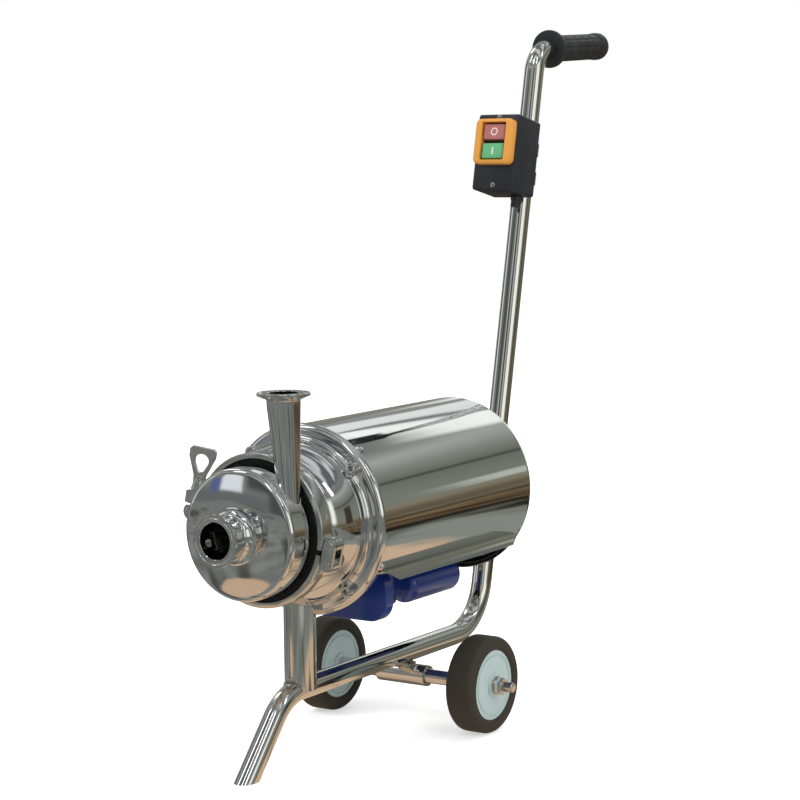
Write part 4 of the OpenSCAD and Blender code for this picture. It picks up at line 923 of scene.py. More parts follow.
@dataclass
class Adapter:
    """Bell between the pump and the motor, with its flange screws."""

    bore_r: float = 26.0
    seat_r: float = 69.0
    inside_r: float = 68.0
    front_y: float = 80.25
    wall_front: Point2 = (73.0, 89.25)
    wall_rear: Point2 = (80.0, 133.0)
    swell: float = 3.5
    edge_r: float = 5.0
    rim_round: float = 7.0
    flange_y: float = 138.0
    rim_r: float = 95.0
    back_y: float = 146.0
    web_t: float = 5.0
    spigot_r: float = 62.0
    spigot_l: float = 6.0
    screw_edge: float = 0.6

    def wall(self) -> list[Point2]:
        """The bell's wall as an arc that stands out between its ends, with its front edge rounded."""
        first, last = Vector(self.wall_front), Vector(self.wall_rear)
        span = (last - first).length
        radius = span * span / (8 * self.swell) + self.swell / 2
        out = Vector((last.y - first.y, first.x - last.x)) / span
        centre = (first + last) / 2 - (radius - self.swell) * out
        turn = [math.degrees(math.atan2(p.y - centre.y, p.x - centre.x)) for p in (first, last)]
        edge = first - self.edge_r * polar(turn[0])
        return arc(edge, self.edge_r, -90, turn[0], 6) + arc(centre, radius, turn[0], turn[1], 24)[1:]

    def build(self) -> None:
        """Makes the bell and dresses its fasteners."""
        fillet = (self.wall_rear[0] + self.edge_r, self.flange_y - self.edge_r)
        rim = (self.rim_r - self.rim_round, self.flange_y + self.rim_round)
        corner = [(self.rim_r, self.back_y - 0.8), (self.rim_r, self.back_y), (self.rim_r - 1, self.back_y)]
        wall = self.wall()
        inside_y = wall[0][1] + self.web_t
        bell = ([(self.bore_r, self.front_y), (self.seat_r, self.front_y)] + wall
                + arc(fillet, self.edge_r, 180, 90, 10)[1:] + arc(rim, self.rim_round, -90, 0, 12)
                + rounded(corner, 0.4, 3, False)
                + [(self.spigot_r, self.back_y), (self.spigot_r, self.back_y - self.spigot_l),
                   (self.inside_r, inside_y), (self.bore_r, inside_y)])
        finish_piece(lathe("adapter_bell_skin", bell, along_y(), segments=192), Finishes.BOWL, "adapter_bell")
        dress_solids(Finishes.TURNED, "flange_screws", "flange_nuts", bevel=self.screw_edge)


@dataclass
class Hood:
    """Wrapped sheet over the motor with flared lips and a pressed end."""

    radius: float = 92.7
    thick: float = 1.2
    front_y: float = 146.5
    cap_y: float = 420.0
    edge_r: float = 12.0
    drop: float = 32.0
    wrap_in: float = 3.0
    wrap_steps: int = 150
    lip_w: float = 17.5
    lip_a: float = 18.0
    lip_front_y: float = 166.5
    lip_step: float = 0.12
    lip_cut: float = 36.0
    fold_r: float = 4.0
    runs: tuple[float, ...] = (0.0, 0.002, 0.998, 1.0)
    sharp: float = 40.0
    screw_edge: float = 0.5

    def section(self, inset: float) -> list[Point3]:
        """One face of the sheet from the right lip over the top to the left one.

        Args:
            inset: how far the face lies inside the outer one, in millimetres.

        Returns:
            X and Z of each point, with its share of the way from the fold to the lip's tip.
        """
        r = self.radius - inset
        base, along = polar(-self.drop, r), polar(-self.lip_a)
        wrap = arc((0.0, 0.0), r, self.wrap_in - self.drop, 180 - self.wrap_in + self.drop, self.wrap_steps)
        fold = rounded([tuple(base + along * self.lip_w), tuple(base), wrap[0]], self.fold_r, 6, False)
        flare = [(x, z, max(0.0, (Vector((x, z)) - base).dot(along) / self.lip_w)) for x, z in fold]
        far_flare = [(-x, z, share) for x, z, share in reversed(flare)]
        return flare + [(x, z, 0.0) for x, z in wrap[1:-1]] + far_flare

    def row(self, points: Sequence[Point3], run: float) -> list[Vector]:
        """Points at one share of the sheet's run; the lips start later and slant off at the rear.

        Args:
            points: the section's points.
            run: share of the way from the front to the rear.

        Returns:
            The points in the row frame.
        """
        made = []
        for x, z, share in points:
            first = self.front_y + (self.lip_front_y - self.front_y) * min(1.0, share / self.lip_step)
            last = self.cap_y - self.lip_cut * share
            made.append(Vector((x * MM, ROOT_Y + (first + (last - first) * run) * MM, AXIS_Z + z * MM)))
        return made

    def build(self) -> None:
        """Makes the sheet and its end and dresses the screws."""
        outer = self.section(0.0)
        ring = outer + list(reversed(self.section(self.thick)))
        rows = [self.row(ring, run) for run in self.runs]
        work = bmesh.new()
        grid(work, rows, True, False)
        for row in (rows[0], rows[-1]):
            for i in range(len(outer) - 1):
                work.faces.new([work.verts.new(row[k]) for k in (i, i + 1, -i - 2, -i - 1)])
        finish_piece(mesh_object("motor_hood_skin", work, self.sharp), Finishes.SHEET, "motor_hood")
        centre, rear = (self.radius - self.edge_r, self.cap_y), self.cap_y + self.edge_r
        end = (arc(centre, self.edge_r, 0, 90, 14) + [(0.0, rear), (0.0, rear - self.thick)]
               + arc(centre, self.edge_r - self.thick, 90, 0, 10))
        finish_piece(lathe("hood_end_skin", end, along_y(), segments=192), Finishes.SHEET, "hood_end_cap")
        dress_solids(Finishes.TURNED, "hood_screws", bevel=self.screw_edge)


@dataclass
class Motor:
    """Blue motor under the hood and the train of turning parts inside."""

    paint_edge: float = 1.0
    gland_edge: float = 0.4
    painted: tuple[str, ...] = ("motor_front_shield", "motor_barrel", "motor_rear_shield", "terminal_box",
                                "terminal_lid", "capacitor_cover")
    still: tuple[tuple[str, Finish], ...] = (
        ("front_bearing", Finishes.TURNED), ("rear_bearing", Finishes.TURNED), ("stator_core", Finishes.IRON),
        ("stator_coils", Finishes.COPPER), ("seal_seat", Finishes.CERAMIC), ("back_plate", Finishes.BOWL))
    turning: tuple[tuple[str, Finish], ...] = (
        ("pump_shaft", Finishes.TURNED), ("motor_shaft", Finishes.TURNED), ("impeller", Finishes.CAST),
        ("impeller_nut", Finishes.TURNED), ("seal_bellows", Finishes.BLACK_RUBBER),
        ("seal_ring", Finishes.CARBON), ("rotor_core", Finishes.IRON))

    def build(self) -> None:
        """Dresses the motor."""
        dress_solids(Finishes.BLUE, *self.painted, bevel=self.paint_edge)
        for node, finish in self.still:
            dress_solids(finish, node, angle=SHARP_COPY)
        dress_solids(Finishes.BOX, "motor_gland", bevel=self.gland_edge)
        for node, finish in self.turning:
            dress_solids(finish, node, angle=SHARP_COPY, body=Body.ROTOR)
        dress_solids(Finishes.BOX, "cooling_fan", angle=SHARP_COPY, body=Body.ROTOR, slot="fan_plastic")


@dataclass
class Cart:
    """Bent tube, post, axle tube and welds."""

    tube_r: float = 11.0
    tube_t: float = 1.5
    tube_sides: int = 48
    foot_y: float = 42.0
    foot_a: float = 49.0
    foot_spare: float = 12.0
    spine_z: float = 72.0
    heel_y: float = 464.0
    lean: float = 12.3
    crown_z: float = 706.0
    grip_a: float = 3.2
    foot_bend: float = 58.0
    heel_bend: float = 62.0
    crown_bend: float = 33.0
    handle_l: float = 143.0
    post_y: float = 132.0
    post_r: float = 16.0
    axle_y: float = 317.5
    axle_z: float = 50.0
    cross_r: float = 11.0
    part_edge: float = 0.4
    weld_step: float = 2.2
    post_bead: float = 2.1
    post_sides: int = 96
    post_trim: float = 0.6
    axle_bead: float = 2.3
    axle_half: int = 8
    axle_off: float = 4.5
    axle_flare: float = 0.35
    axle_fall: float = 0.1

    def crown_y(self) -> float:
        """Station of the handle's corner."""
        return self.heel_y + (self.crown_z - self.spine_z) * math.tan(math.radians(self.lean))

    def path(self) -> list[Vector]:
        """Middle line of the tube from below the floor to the handle's end, in metres."""
        start = Vector((self.foot_y, 0.0)) - polar(self.foot_a) * self.foot_spare
        corner = Vector((self.foot_y + self.spine_z / math.tan(math.radians(self.foot_a)), self.spine_z))
        heel = Vector((self.heel_y, self.spine_z))
        crown = Vector((self.crown_y(), self.crown_z))
        end = crown + polar(self.grip_a) * self.handle_l
        line = bent([start, corner, heel, crown, end], [self.foot_bend, self.heel_bend, self.crown_bend])
        return [station(0.0, p.x, p.y) for p in line]

    def build(self, beads: BeadTree) -> None:
        """Makes the tube, the post, the axle tube and their welds, which the given tree lays."""
        self.bent_tube()
        dress_solids(Finishes.TUBE, "support_post", "axle_tube", angle=SHARP_TUBE)
        dress_solids(Finishes.TURNED, "axle_plugs", "axle_rod", "axle_washers", "axle_nuts",
                     bevel=self.part_edge)
        self.post_weld(beads)
        self.axle_weld(beads)

    def shell(self, radius: float) -> list[list[Vector]]:
        """Rings of points at a radius, in metres, round the tube's middle line."""
        path, side = self.path(), Vector((1.0, 0.0, 0.0))
        rows = []
        for i, point in enumerate(path):
            ahead = path[min(i + 1, len(path) - 1)] - path[max(i - 1, 0)]
            across = side.cross(ahead).normalized()
            rows.append([point + radius * (math.cos(a) * side + math.sin(a) * across)
                         for a in turns(self.tube_sides)])
        return rows

    def bent_tube(self) -> None:
        """The cart's tube, cut level with the floor, with a wall at its open foot."""
        work = bmesh.new()
        for radius in (self.tube_r, self.tube_r - self.tube_t):
            grid(work, self.shell(radius * MM), True, False)
        bmesh.ops.bisect_plane(work, geom=list(work.verts) + list(work.edges) + list(work.faces),
                               plane_co=(0, 0, 0), plane_no=(0, 0, 1), clear_inner=True)
        rims = [e for e in work.edges if e.is_boundary]
        feet = [e for e in rims if e.verts[0].co.z < MM]
        ends = [e for e in rims if e.verts[0].co.z >= MM]
        bmesh.ops.bridge_loops(work, edges=feet)
        bmesh.ops.bridge_loops(work, edges=ends)
        finish_piece(mesh_object("cart_tube_skin", work), Finishes.TUBE, "cart_tube")

    def post_weld(self, beads: BeadTree) -> None:
        """Ripples where the post stands on the spine, in front and behind."""
        lines = {"post_weld_front": [], "post_weld_rear": []}
        for a in turns(self.post_sides):
            x, y = self.post_r * math.cos(a), self.post_r * math.sin(a)
            if abs(x) <= self.tube_r - self.post_trim:
                point = station(x, self.post_y + y, self.spine_z + math.sqrt(self.tube_r ** 2 - x ** 2))
                lines["post_weld_front" if y < 0 else "post_weld_rear"].append(point)
        for name, line in lines.items():
            line.sort(key=lambda p: p.x)
            beads.lay(name, line, self.weld_step, self.post_bead, Finishes.WELD)

    def axle_weld(self, beads: BeadTree) -> None:
        """Ripples along both sides of the axle tube under the spine."""
        level = self.axle_z + self.cross_r
        for name, side in (("axle_weld_front", -1), ("axle_weld_rear", 1)):
            line = [station(x, self.axle_y + side * (self.axle_off + abs(x) * self.axle_flare),
                            level - abs(x) * self.axle_fall)
                    for x in range(-self.axle_half, self.axle_half + 1)]
            beads.lay(name, line, self.weld_step, self.axle_bead, Finishes.WELD)


@dataclass
class Wheels:
    """Tyres and moulded hubs."""

    radius: float = 50.0
    width: float = 32.0
    shoulder: float = 7.0
    shoulder_a: float = 8.0
    hub_r: float = 36.0
    rim_w: float = 27.0
    bore_r: float = 5.05
    boss_r: float = 12.0
    ring_in: float = 6.2
    ring_w: float = 2.4
    ring_deep: float = 1.2
    hub_edge: float = 0.7
    middle: float = 95.6
    axle_y: float = 317.5

    def place(self, side: int) -> Matrix:
        """Local axis Z out of the wheel's visible face."""
        spot = Matrix.Translation(station(side * self.middle, self.axle_y, self.radius))
        return spot @ Matrix.Rotation(math.radians(side * 90), 4, "Y") @ Matrix.Scale(MM, 4)

    def build(self) -> None:
        """Makes both wheels."""
        parts = (("tyre", self.tyre(), Finishes.TYRE), ("hub", self.hub(), Finishes.HUB))
        for side, body, word in ((1, Body.RIGHT_WHEEL, "right"), (-1, Body.LEFT_WHEEL, "left")):
            for part, profile, finish in parts:
                skin = lathe(f"{part}_{word}_skin", profile, self.place(side))
                finish_piece(skin, finish, f"{part}_{word}", body=body)

    def tyre(self) -> list[Point2]:
        """Half profile of a solid tyre with round shoulders."""
        h, edge = self.width / 2, self.shoulder
        bead = [(self.hub_r, self.rim_w / 2), (self.hub_r + 1.2, h - 0.8), (self.hub_r + 2.4, h)]
        half = arc((self.radius - edge, h - edge), edge, self.shoulder_a, 90, 10) + bead[::-1]
        return [(r, -x) for r, x in reversed(half)] + [(self.radius, 0.0)] + half

    def hub(self) -> list[Point2]:
        """Half profile of the hub: boss, and a disc with a ring groove on both faces."""
        face, h, inner = self.rim_w / 2, self.width / 2, self.hub_r - self.ring_in
        floor, outer = face - self.ring_deep, inner + self.ring_w
        side = [(self.bore_r, h), (self.boss_r, h), (self.boss_r, face), (inner, face), (inner, floor),
                (outer, floor), (outer, face), (self.hub_r - 0.02, face)]
        return rounded(side + [(r, -x) for r, x in reversed(side)], self.hub_edge, 3)


@dataclass
class Grip:
    """Rubber grip with rows of raised pads and a hand stop."""

    length: float = 120.9
    bore: float = 11.02
    radius: float = 14.3
    stop_r: float = 21.4
    stop_t: float = 6.0
    stop_round: float = 2.2
    end_r: float = 15.7
    end_round: float = 6.0
    end_t: float = 3.5
    bulge_from: float = 16.0
    bulge_full: float = 13.0
    pad_rows: int = 10
    pads: int = 5
    pad_h: float = 0.6
    pad_from: float = 4.0
    pad_to: float = 20.0
    pad_half: Point2 = (0.4, 0.46)
    pad_slope: Point2 = (0.08, 0.05)
    pad_steps: int = 18
    sides: int = 160
    sharp: float = 60.0
    start: float = 26.1

    def profile(self) -> list[Point2]:
        """Half profile from the hand stop to the closed end."""
        stop = rounded([(self.bore, 0.0), (self.stop_r, 0.0), (self.stop_r, self.stop_t),
                        (self.radius, self.stop_t + 0.5)], self.stop_round, 5, False)
        first, last = self.pad_span()
        steps = self.pad_steps * self.pads
        barrel = [(self.radius, first + (last - first) * i / steps) for i in range(steps + 1)]
        cap = (self.end_r - self.end_round, self.length - self.end_round)
        floor = self.length - self.end_t
        bulge = [(self.radius, last + 2), (self.end_r - 0.3, self.length - self.bulge_from),
                 (self.end_r, self.length - self.bulge_full)]
        return (stop + barrel + bulge + arc(cap, self.end_round, 0, 90)
                + [(0.0, self.length), (0.0, floor), (self.bore, floor)])

    def pad_span(self) -> Point2:
        """First and last height of the pads."""
        return self.stop_t + self.pad_from, self.length - self.pad_to

    def swell(self, turn: float, height: float) -> float:
        """How far a pad stands out of the barrel.

        Args:
            turn: angle in radians.
            height: from the hand stop's face.

        Returns:
            The swelling in millimetres; it slopes down at the sides and ends of a pad.
        """
        first, last = self.pad_span()
        if not first <= height <= last:
            return 0.0
        across = abs((turn * self.pad_rows / (2 * math.pi)) % 1.0 - 0.5)
        cell = abs((height - first) / (last - first) * self.pads % 1.0 - 0.5)
        rise = self.pad_h
        for off, half, slope in zip((across, cell), self.pad_half, self.pad_slope):
            rise *= min(1.0, max(0.0, (half - off) / slope))
        return rise

    def build(self, cart: Cart) -> None:
        """Makes the grip on the handle's line, with its profile lifted where a pad is."""
        turned = Matrix.Rotation(math.radians(cart.grip_a - 90), 4, "X")
        corner = Matrix.Translation(station(0.0, cart.crown_y(), cart.crown_z))
        place = corner @ turned @ Matrix.Scale(MM, 4) @ Matrix.Translation((0, 0, self.start))
        profile = self.profile()
        rows = []
        for a in turns(self.sides):
            row = [(r + self.swell(a, h), h) for r, h in profile]
            rows.append([place @ Vector((r * math.cos(a), r * math.sin(a), h)) for r, h in row])
        work = bmesh.new()
        grid(work, rows, True, True)
        finish_piece(mesh_object("handle_grip_skin", work, self.sharp), Finishes.BLACK_RUBBER, "handle_grip")


@dataclass
class SwitchBox:
    """Box on the upright with bezel, buttons and their marks."""

    width: float = 52.0
    height: float = 84.0
    corner: float = 3.0
    back: float = 17.5
    base_d: float = 9.0
    depth: float = 47.0
    middle_z: float = 579.0
    bezel_w: float = 47.0
    bezel_h: float = 50.0
    bezel_t: float = 10.0
    bezel_down: float = 6.5
    bezel_edge: float = 3.2
    bezel_corner: float = 6.0
    well_w: float = 30.4
    well_h: float = 42.0
    well_deep: float = 12.0
    well_corner: float = 2.0
    button_w: float = 27.0
    button_h: float = 17.0
    button_gap: float = 4.2
    button_corner: float = 1.8
    recess: float = 2.5
    button_l: float = 14.0
    mark_span: Point2 = (-0.2, 0.12)
    ring: Point2 = (3.1, 4.3)
    bar: Point3 = (1.6, 8.4, 0.4)
    screw_top: float = 3.4
    screw_low: float = 5.5
    part_edge: float = 0.6
    block_edge: float = 0.5

    def place(self, cart: Cart, forward: float, up: float = 0.0) -> Matrix:
        """Local Z out of the box's front, local Y up along the tube.

        Args:
            cart: the cart whose upright carries the box.
            forward: distance before the tube's axis.
            up: height over the box's middle.

        Returns:
            What takes local millimetres to the row frame in metres.
        """
        lean = math.radians(cart.lean)
        run = (self.middle_z - cart.spine_z) / math.cos(lean)
        heel = Matrix.Translation(station(0.0, cart.heel_y, cart.spine_z))
        tilt = heel @ Matrix.Rotation(-lean, 4, "X") @ Matrix.Scale(MM, 4)
        spot = Matrix.Translation((0.0, -forward, run + up))
        return tilt @ spot @ Matrix.Rotation(math.radians(90), 4, "X")

    def bezel_up(self) -> float:
        """Height of the bezel's middle over the box's middle."""
        return self.height / 2 - self.bezel_h / 2 - self.bezel_down

    def build(self, cart: Cart) -> None:
        """Makes the box and what is on it."""
        front, base, deep = self.back + self.depth, self.base_d, self.depth - self.base_d
        shells = (("switch_base", self.back, [(1.2, 0.0), (0.0, 1.2), (0.0, base - 0.3), (0.5, base)]),
                  ("switch_housing", self.back + base,
                   [(0.5, 0.0), (0.0, 0.3), (0.0, deep - 1.6), (0.5, deep - 0.5), (1.6, deep)]))
        for node, forward, levels in shells:
            shell = slab(node + "_skin", self.width, self.height, self.corner, levels,
                         self.place(cart, forward))
            finish_piece(shell, Finishes.BOX, node)
        self.bezel(self.place(cart, front, self.bezel_up()))
        self.buttons(cart, front)
        self.lid_screws(cart, front)
        dress_solids(Finishes.BOX, "box_saddle", "switch_gland", bevel=self.part_edge)
        dress_solids(Finishes.BOX, "contact_block", bevel=self.block_edge)

    def bezel(self, place: Matrix) -> None:
        """The round-edged orange frame with a well for the buttons."""
        t, edge = self.bezel_t, self.bezel_edge
        outer = [(0.0, 0.0), (0.0, t - edge)]
        outer += [(edge + x, t - edge + z) for x, z in arc((0.0, 0.0), edge, 165, 90, 5)]
        rings = [(outline(self.bezel_w - 2 * d, self.bezel_h - 2 * d, max(self.bezel_corner - d, 1.0)), level)
                 for d, level in outer]
        mouth = [(0.6, t), (0.0, t - 0.6), (0.0, -self.well_deep)]
        rings += [(outline(self.well_w + 2 * d, self.well_h + 2 * d, self.well_corner + d), level)
                  for d, level in mouth]
        work = bmesh.new()
        grid(work, [[place @ Vector((x, y, level)) for x, y in ring] for ring, level in rings], True, False)
        finish_piece(mesh_object("switch_bezel_skin", work), Finishes.ORANGE, "switch_bezel")

    def buttons(self, cart: Cart, front: float) -> None:
        """Two crowned push buttons with their marks."""
        top, long = front + self.bezel_t - self.recess, self.button_l
        levels = [(0.0, 0.0), (0.0, long - 1.6), (0.25, long - 0.8), (0.8, long - 0.25), (1.6, long)]
        for side, body, finish, word in ((1, Body.STOP, Finishes.RED, "stop"),
                                         (-1, Body.START, Finishes.GREEN, "start")):
            up = self.bezel_up() + side * (self.button_h + self.button_gap) / 2
            key = slab(f"{word}_button_skin", self.button_w, self.button_h, self.button_corner, levels,
                       self.place(cart, top - long, up))
            finish_piece(key, finish, f"{word}_button", body=body)
            mark = self.mark(word, self.place(cart, top, up))
            finish_piece(mark, Finishes.MARK, body=body, slot=finish.slot)

    def mark(self, word: str, face: Matrix) -> Object:
        """A ring on the stop button or a bar on the start button, printed slightly proud."""
        low, high = self.mark_span
        if word == "stop":
            inner, outer = self.ring
            ring = rounded([(inner, low), (outer, low), (outer, high), (inner, high)], 0.05, 2)
            return lathe("stop_mark", ring, face, segments=64)
        return slab("start_mark", *self.bar, [(0.0, low), (0.0, 0.08), (0.08, high)], face)

    def lid_screws(self, cart: Cart, front: float) -> None:
        """Two round-headed screws in the box's front."""
        head = rounded([(0.0, -1.5), (2.9, -1.5), (2.9, 0.1), (2.4, 0.5), (0.0, 0.6)], 0.2, 2, False)
        half = self.height / 2
        for word, up in (("top", half - self.screw_top), ("bottom", self.screw_low - half)):
            screw = lathe(f"lid_screw_{word}", head, self.place(cart, front, up), closed=False, segments=48)
            finish_piece(screw, Finishes.TURNED)


@dataclass(frozen=True)
class Panel:
    """A soft-edged patch of the surroundings that only polished metal sees.

    Angles are in degrees, azimuth from +Y toward +X.
    """

    azimuth: float
    half: float
    low: float
    high: float
    colour: Rgb
    soft: float

    def mask(self, x: Value, y: Value, z: Value) -> Value:
        """Where a direction meets the patch.

        Args:
            x: the direction's part along X.
            y: its part along Y.
            z: its part along Z.

        Returns:
            1 inside the patch and 0 outside.
        """
        turn, half, low, high, soft = (math.radians(a) for a in (self.azimuth, self.half, self.low, self.high,
                                                                 self.soft))
        ahead = math.sin(turn) * x + math.cos(turn) * y
        aside = math.cos(turn) * x - math.sin(turn) * y
        inside = abs(aside.bearing(ahead)).fade(half + soft, half - soft)
        over = z.fade(math.sin(low - soft), math.sin(low + soft))
        under = z.fade(math.sin(high + soft), math.sin(high - soft))
        return inside * over * under


@dataclass(frozen=True)
class Lamp:
    """A soft box: its place, what it points at, its size in metres and its power in watts."""

    name: str
    spot: Point3
    aim: Point3
    size: float
    power: float


@dataclass
class Studio:
    """Camera, floor, light and surroundings; the eye is in millimetres, the room in metres."""

    eye: Point3 = (1279.37, -1626.77, 600.36)
    yaw: float = 33.38
    pitch: float = 6.42
    roll: float = -0.67
    lens_px: float = 2257.56
    image_px: float = 800.0
    sensor: float = 36.0
    far_clip: float = 100.0
    floor_half: float = 14.0
    floor_white: Rgb = (0.86, 0.86, 0.86)
    floor_lift: float = 0.52
    glow: Point2 = (0.18, -0.12)
    ground_reach: float = 4.0
    apron: tuple[Rgb, Rgb] = ((0.29, 0.3, 0.28), (0.17, 0.18, 0.165))
    spoke: Rgb = (0.05, 0.046, 0.038)
    patches: tuple[tuple[float, float, float, Rgb], ...] = (
        (-0.24, -0.66, 0.12, (0.7, 0.5, 0.34)), (0.62, -0.75, 0.22, (0.5, 0.5, 0.46)),
        (-0.03, 0.06, 0.17, (0.17, 0.15, 0.11)), (0.3, -0.17, 0.085, (0.13, 0.13, 0.11)))
    walls: Stops = (
        (0.0, (0.1, 0.09, 0.08)), (0.48, (0.14, 0.1, 0.06)), (0.515, (0.3, 0.25, 0.17)),
        (0.53, (0.25, 0.26, 0.22)), (0.6, (0.24, 0.25, 0.22)), (0.655, (0.2, 0.21, 0.18)),
        (0.664, (0.06, 0.065, 0.055)), (0.674, (0.19, 0.2, 0.175)), (0.72, (0.3, 0.315, 0.285)),
        (0.76, (0.48, 0.5, 0.47)), (0.785, (0.22, 0.23, 0.22)), (0.86, (0.3, 0.31, 0.31)),
        (1.0, (0.5, 0.51, 0.51)))
    ceiling: tuple[Rgb, Rgb] = ((0.15, 0.16, 0.16), (0.72, 0.74, 0.74))
    ambient: Rgb = (0.62, 0.62, 0.62)
    ground: Stops = (
        (0.0, (0.2, 0.19, 0.16)), (0.03, (0.74, 0.53, 0.36)), (0.085, (0.74, 0.53, 0.36)),
        (0.093, (0.3, 0.32, 0.29)), (0.16, (0.31, 0.33, 0.3)), (0.19, (0.2, 0.2, 0.17)),
        (0.21, (0.02, 0.018, 0.012)), (0.26, (0.03, 0.025, 0.018)), (0.3, (0.2, 0.13, 0.07)),
        (0.36, (0.05, 0.035, 0.022)), (0.44, (0.26, 0.18, 0.1)), (0.6, (0.06, 0.045, 0.03)),
        (0.8, (0.24, 0.19, 0.12)), (1.0, (0.16, 0.14, 0.1)))
    panels: tuple[Panel, ...] = (
        Panel(180.0, 95.0, -9.0, 4.0, (0.17, 0.18, 0.18), 2.0),
        Panel(-157.0, 9.0, 6.0, 26.0, (0.08, 0.085, 0.095), 2.0),
        Panel(172.0, 3.0, 40.0, 62.0, (4.5, 4.6, 4.7), 1.0),
        Panel(128.0, 2.5, 36.0, 56.0, (4.5, 4.6, 4.7), 1.0),
        Panel(-128.0, 4.0, 38.0, 58.0, (4.0, 4.1, 4.3), 1.0),
        Panel(76.0, 3.0, 34.0, 52.0, (3.2, 3.2, 3.1), 1.0),
        Panel(-72.0, 5.0, 34.0, 54.0, (3.2, 3.3, 3.4), 1.0),
        Panel(110.0, 1.6, 10.0, 24.0, (3.6, 3.6, 3.5), 0.6),
        Panel(-14.0, 18.0, -5.0, 33.5, (0.92, 0.95, 0.94), 1.2),
        Panel(-9.0, 11.0, 27.0, 33.5, (1.2, 1.22, 1.18), 1.2),
        Panel(-17.0, 5.0, 27.2, 29.6, (0.2, 0.21, 0.23), 0.7),
        Panel(-30.0, 2.5, 13.0, 20.0, (0.3, 0.31, 0.3), 1.0),
        Panel(31.0, 1.4, 4.0, 8.0, (0.62, 0.64, 0.58), 0.8),
        Panel(60.0, 7.0, -6.0, 16.0, (0.06, 0.05, 0.04), 2.0),
        Panel(102.0, 17.0, 1.0, 30.0, (1.2, 1.2, 1.12), 3.0),
        Panel(137.0, 6.0, -8.0, 24.0, (0.55, 0.57, 0.54), 2.0),
        Panel(152.0, 6.0, -4.0, 30.0, (0.07, 0.075, 0.07), 2.0),
        Panel(168.0, 5.0, 8.0, 26.0, (0.62, 0.63, 0.62), 2.0),
        Panel(-165.0, 6.0, -4.0, 20.0, (0.09, 0.095, 0.1), 2.0),
        Panel(-110.0, 9.0, -2.0, 24.0, (0.8, 0.84, 0.86), 2.5),
        Panel(-88.0, 7.0, -2.0, 20.0, (0.05, 0.052, 0.05), 2.5),
        Panel(-60.0, 9.0, -2.0, 26.0, (0.5, 0.52, 0.5), 2.5),
        Panel(-141.0, 5.0, 3.4, 12.0, (0.95, 0.98, 1.05), 0.8),
        Panel(-133.0, 2.4, 2.6, 9.0, (0.12, 0.16, 0.36), 0.8))
    lights: tuple[Lamp, ...] = (
        Lamp("key_box", (-1.6, -2.0, 2.2), (0.0, -0.1, 0.25), 1.1, 34.0),
        Lamp("fill_box", (2.4, -0.6, 1.3), (0.0, 0.0, 0.3), 1.2, 20.0),
        Lamp("top_box", (0.3, 0.2, 2.8), (0.0, 0.0, 0.3), 1.4, 26.0),
        Lamp("rear_box", (-0.8, 2.4, 1.6), (0.0, 0.0, 0.3), 1.0, 18.0))

    def build(self) -> None:
        """Sets the stage."""
        self.camera()
        self.floor()
        self.world()
        self.lamps()
        bpy.context.scene.view_settings.view_transform = "Standard"

    def camera(self) -> None:
        """Camera at the photograph's place and angle."""
        yaw, pitch, roll = (math.radians(a) for a in (self.yaw, self.pitch, self.roll))
        back = Vector((math.sin(yaw) * math.cos(pitch), -math.cos(yaw) * math.cos(pitch), math.sin(pitch)))
        right = Vector((math.cos(yaw), math.sin(yaw), 0.0))
        up = back.cross(right)
        level = math.cos(roll) * right + math.sin(roll) * up
        top = math.cos(roll) * up - math.sin(roll) * right
        data = bpy.data.cameras.new("camera")
        data.sensor_width = self.sensor
        data.sensor_fit = "HORIZONTAL"
        data.lens = self.sensor * self.lens_px / self.image_px
        data.clip_end = self.far_clip
        made = linked("camera", data)
        turn = Matrix((level, top, back)).transposed().to_4x4()
        made.matrix_world = Matrix.Translation(station(*self.eye)) @ turn
        bpy.context.scene.camera = made

    def floor(self) -> None:
        """Pale floor that is white to the camera, keeps the shadow and shows as a workshop floor in metal."""
        work = bmesh.new()
        bmesh.ops.create_grid(work, x_segments=1, y_segments=1, size=self.floor_half)
        made = mesh_object("floor", work)
        paint = bpy.data.materials.new("pale_floor")
        paint.use_nodes = True
        shading = Shading(paint.node_tree)
        seen, mirrored = shading.rays()
        matt = shading.node("ShaderNodeBsdfDiffuse", None, {"Color": self.floor_white})
        lift = shading.node("ShaderNodeEmission", None, {"Strength": self.floor_lift * seen})
        pale = shading.node("ShaderNodeAddShader", None, {0: matt.outputs[0], 1: lift.outputs[0]})
        worn = shading.node("ShaderNodeEmission", None, {"Color": self.workshop_floor(shading)})
        layers = {"Fac": mirrored, 1: pale.outputs[0], 2: worn.outputs[0]}
        blend = shading.node("ShaderNodeMixShader", None, layers)
        shading.node("ShaderNodeOutputMaterial", None, {"Surface": blend.outputs[0]})
        made.data.materials.append(paint)

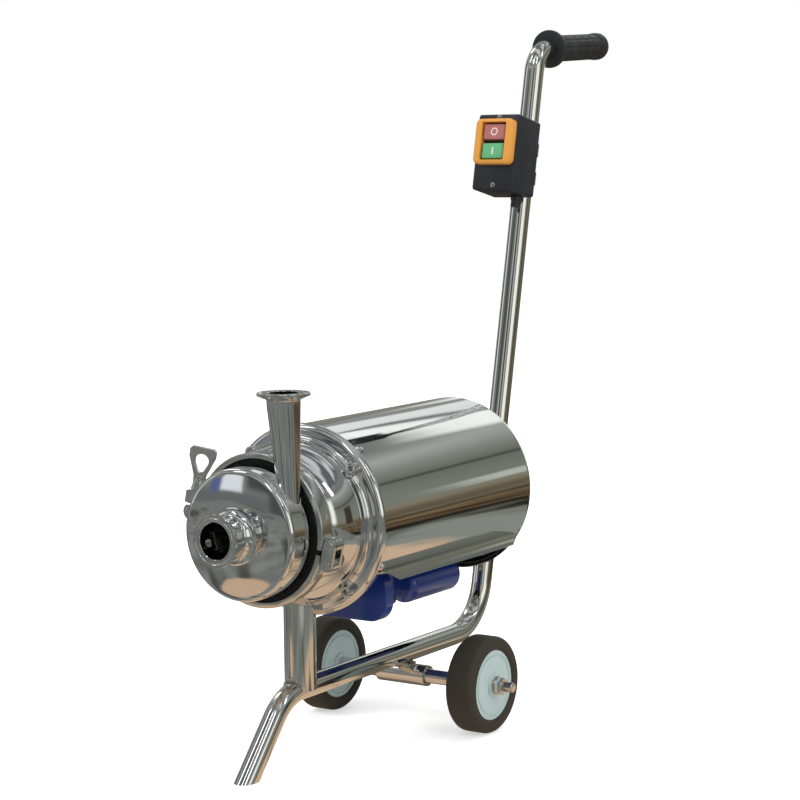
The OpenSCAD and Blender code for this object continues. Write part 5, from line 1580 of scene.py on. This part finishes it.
    def workshop_floor(self, shading: Shading) -> Socket:
        """The mirrored floor: rings of tone round the cart, a bare apron, dark spokes and soft patches."""
        place = shading.node("ShaderNodeTexCoord").outputs["Object"]
        floor_x, floor_y, _ = shading.axes(place)
        x, y = floor_x - self.glow[0], floor_y - self.glow[1]
        blur = shading.noise(place, scale=4.5, detail=4.0)
        reach = (x * x + y * y) ** 0.5 * (0.6 + 0.8 * blur)
        colour = shading.ramp(reach / self.ground_reach, self.ground)
        ahead = 1.0 - floor_y.fade(-0.36, -0.62)
        beside = 1.0 - floor_y.fade(0.45, 0.2) * reach.fade(0.42, 0.6)
        colour = shading.mix(1.0 - ahead * beside, colour, shading.mix(blur.fade(0.36, 0.66), *self.apron))
        spokes = shading.noise(shading.plane(x.bearing(y), 0.12 * reach), scale=3.2, detail=2.0)
        colour = shading.mix(0.75 * spokes.fade(0.56, 0.64), colour, self.spoke)
        for spot_x, spot_y, size, tone in self.patches:
            off_x, off_y = floor_x - spot_x, floor_y - spot_y
            near = (off_x * off_x + off_y * off_y) ** 0.5 * (0.5 + blur)
            colour = shading.mix(near.fade(size, 0.8 * size), colour, tone)
        return colour

    def world(self) -> None:
        """White to the camera, even for matt surfaces, and a workshop with windows to polished metal."""
        world = bpy.data.worlds.new("workshop")
        bpy.context.scene.world = world
        world.use_nodes = True
        shading = Shading(world.node_tree)
        seen, mirrored = shading.rays()
        look = shading.node("ShaderNodeTexCoord").outputs["Generated"]
        x, y, z = shading.axes(look)
        drift = shading.noise(look, scale=2.2, detail=3.0)
        colour = shading.ramp(0.5 + 0.5 * z + 0.02 * (drift - 0.5), self.walls)
        slant = (z * z + 0.1) ** 0.5
        beams = shading.noise(shading.plane(0.5 * x / slant, 2.6 * y / slant), scale=1.7, detail=2.0)
        colour = shading.mix(z.fade(0.62, 0.7), colour, shading.mix(beams.fade(0.46, 0.55), *self.ceiling))
        for panel in self.panels:
            colour = shading.mix(panel.mask(x, y, z), colour, panel.colour)
        colour = shading.mix(mirrored, self.ambient, colour)
        colour = shading.mix(seen, colour, (1.0, 1.0, 1.0))
        back = shading.node("ShaderNodeBackground", None, {"Color": colour, "Strength": 1.0})
        shading.node("ShaderNodeOutputWorld", None, {"Surface": back.outputs[0]})

    def lamps(self) -> None:
        """Soft boxes above and to both sides, which polished metal doesn't show."""
        for lamp in self.lights:
            data = bpy.data.lights.new(lamp.name, "AREA")
            data.size = lamp.size
            data.energy = lamp.power
            made = linked(lamp.name, data)
            made.location = lamp.spot
            made.rotation_euler = (Vector(lamp.aim) - Vector(lamp.spot)).to_track_quat("-Z", "Y").to_euler()
            made.visible_glossy = False


def main() -> None:
    """Builds every sub-assembly in order."""
    Studio().build()
    beads = BeadTree()
    PumpHead().build(beads)
    Clamp().build()
    Adapter().build()
    Motor().build()
    Hood().build()
    cart = Cart()
    cart.build(beads)
    Wheels().build()
    Grip().build(cart)
    SwitchBox().build(cart)


if __name__ == "__main__":
    main()
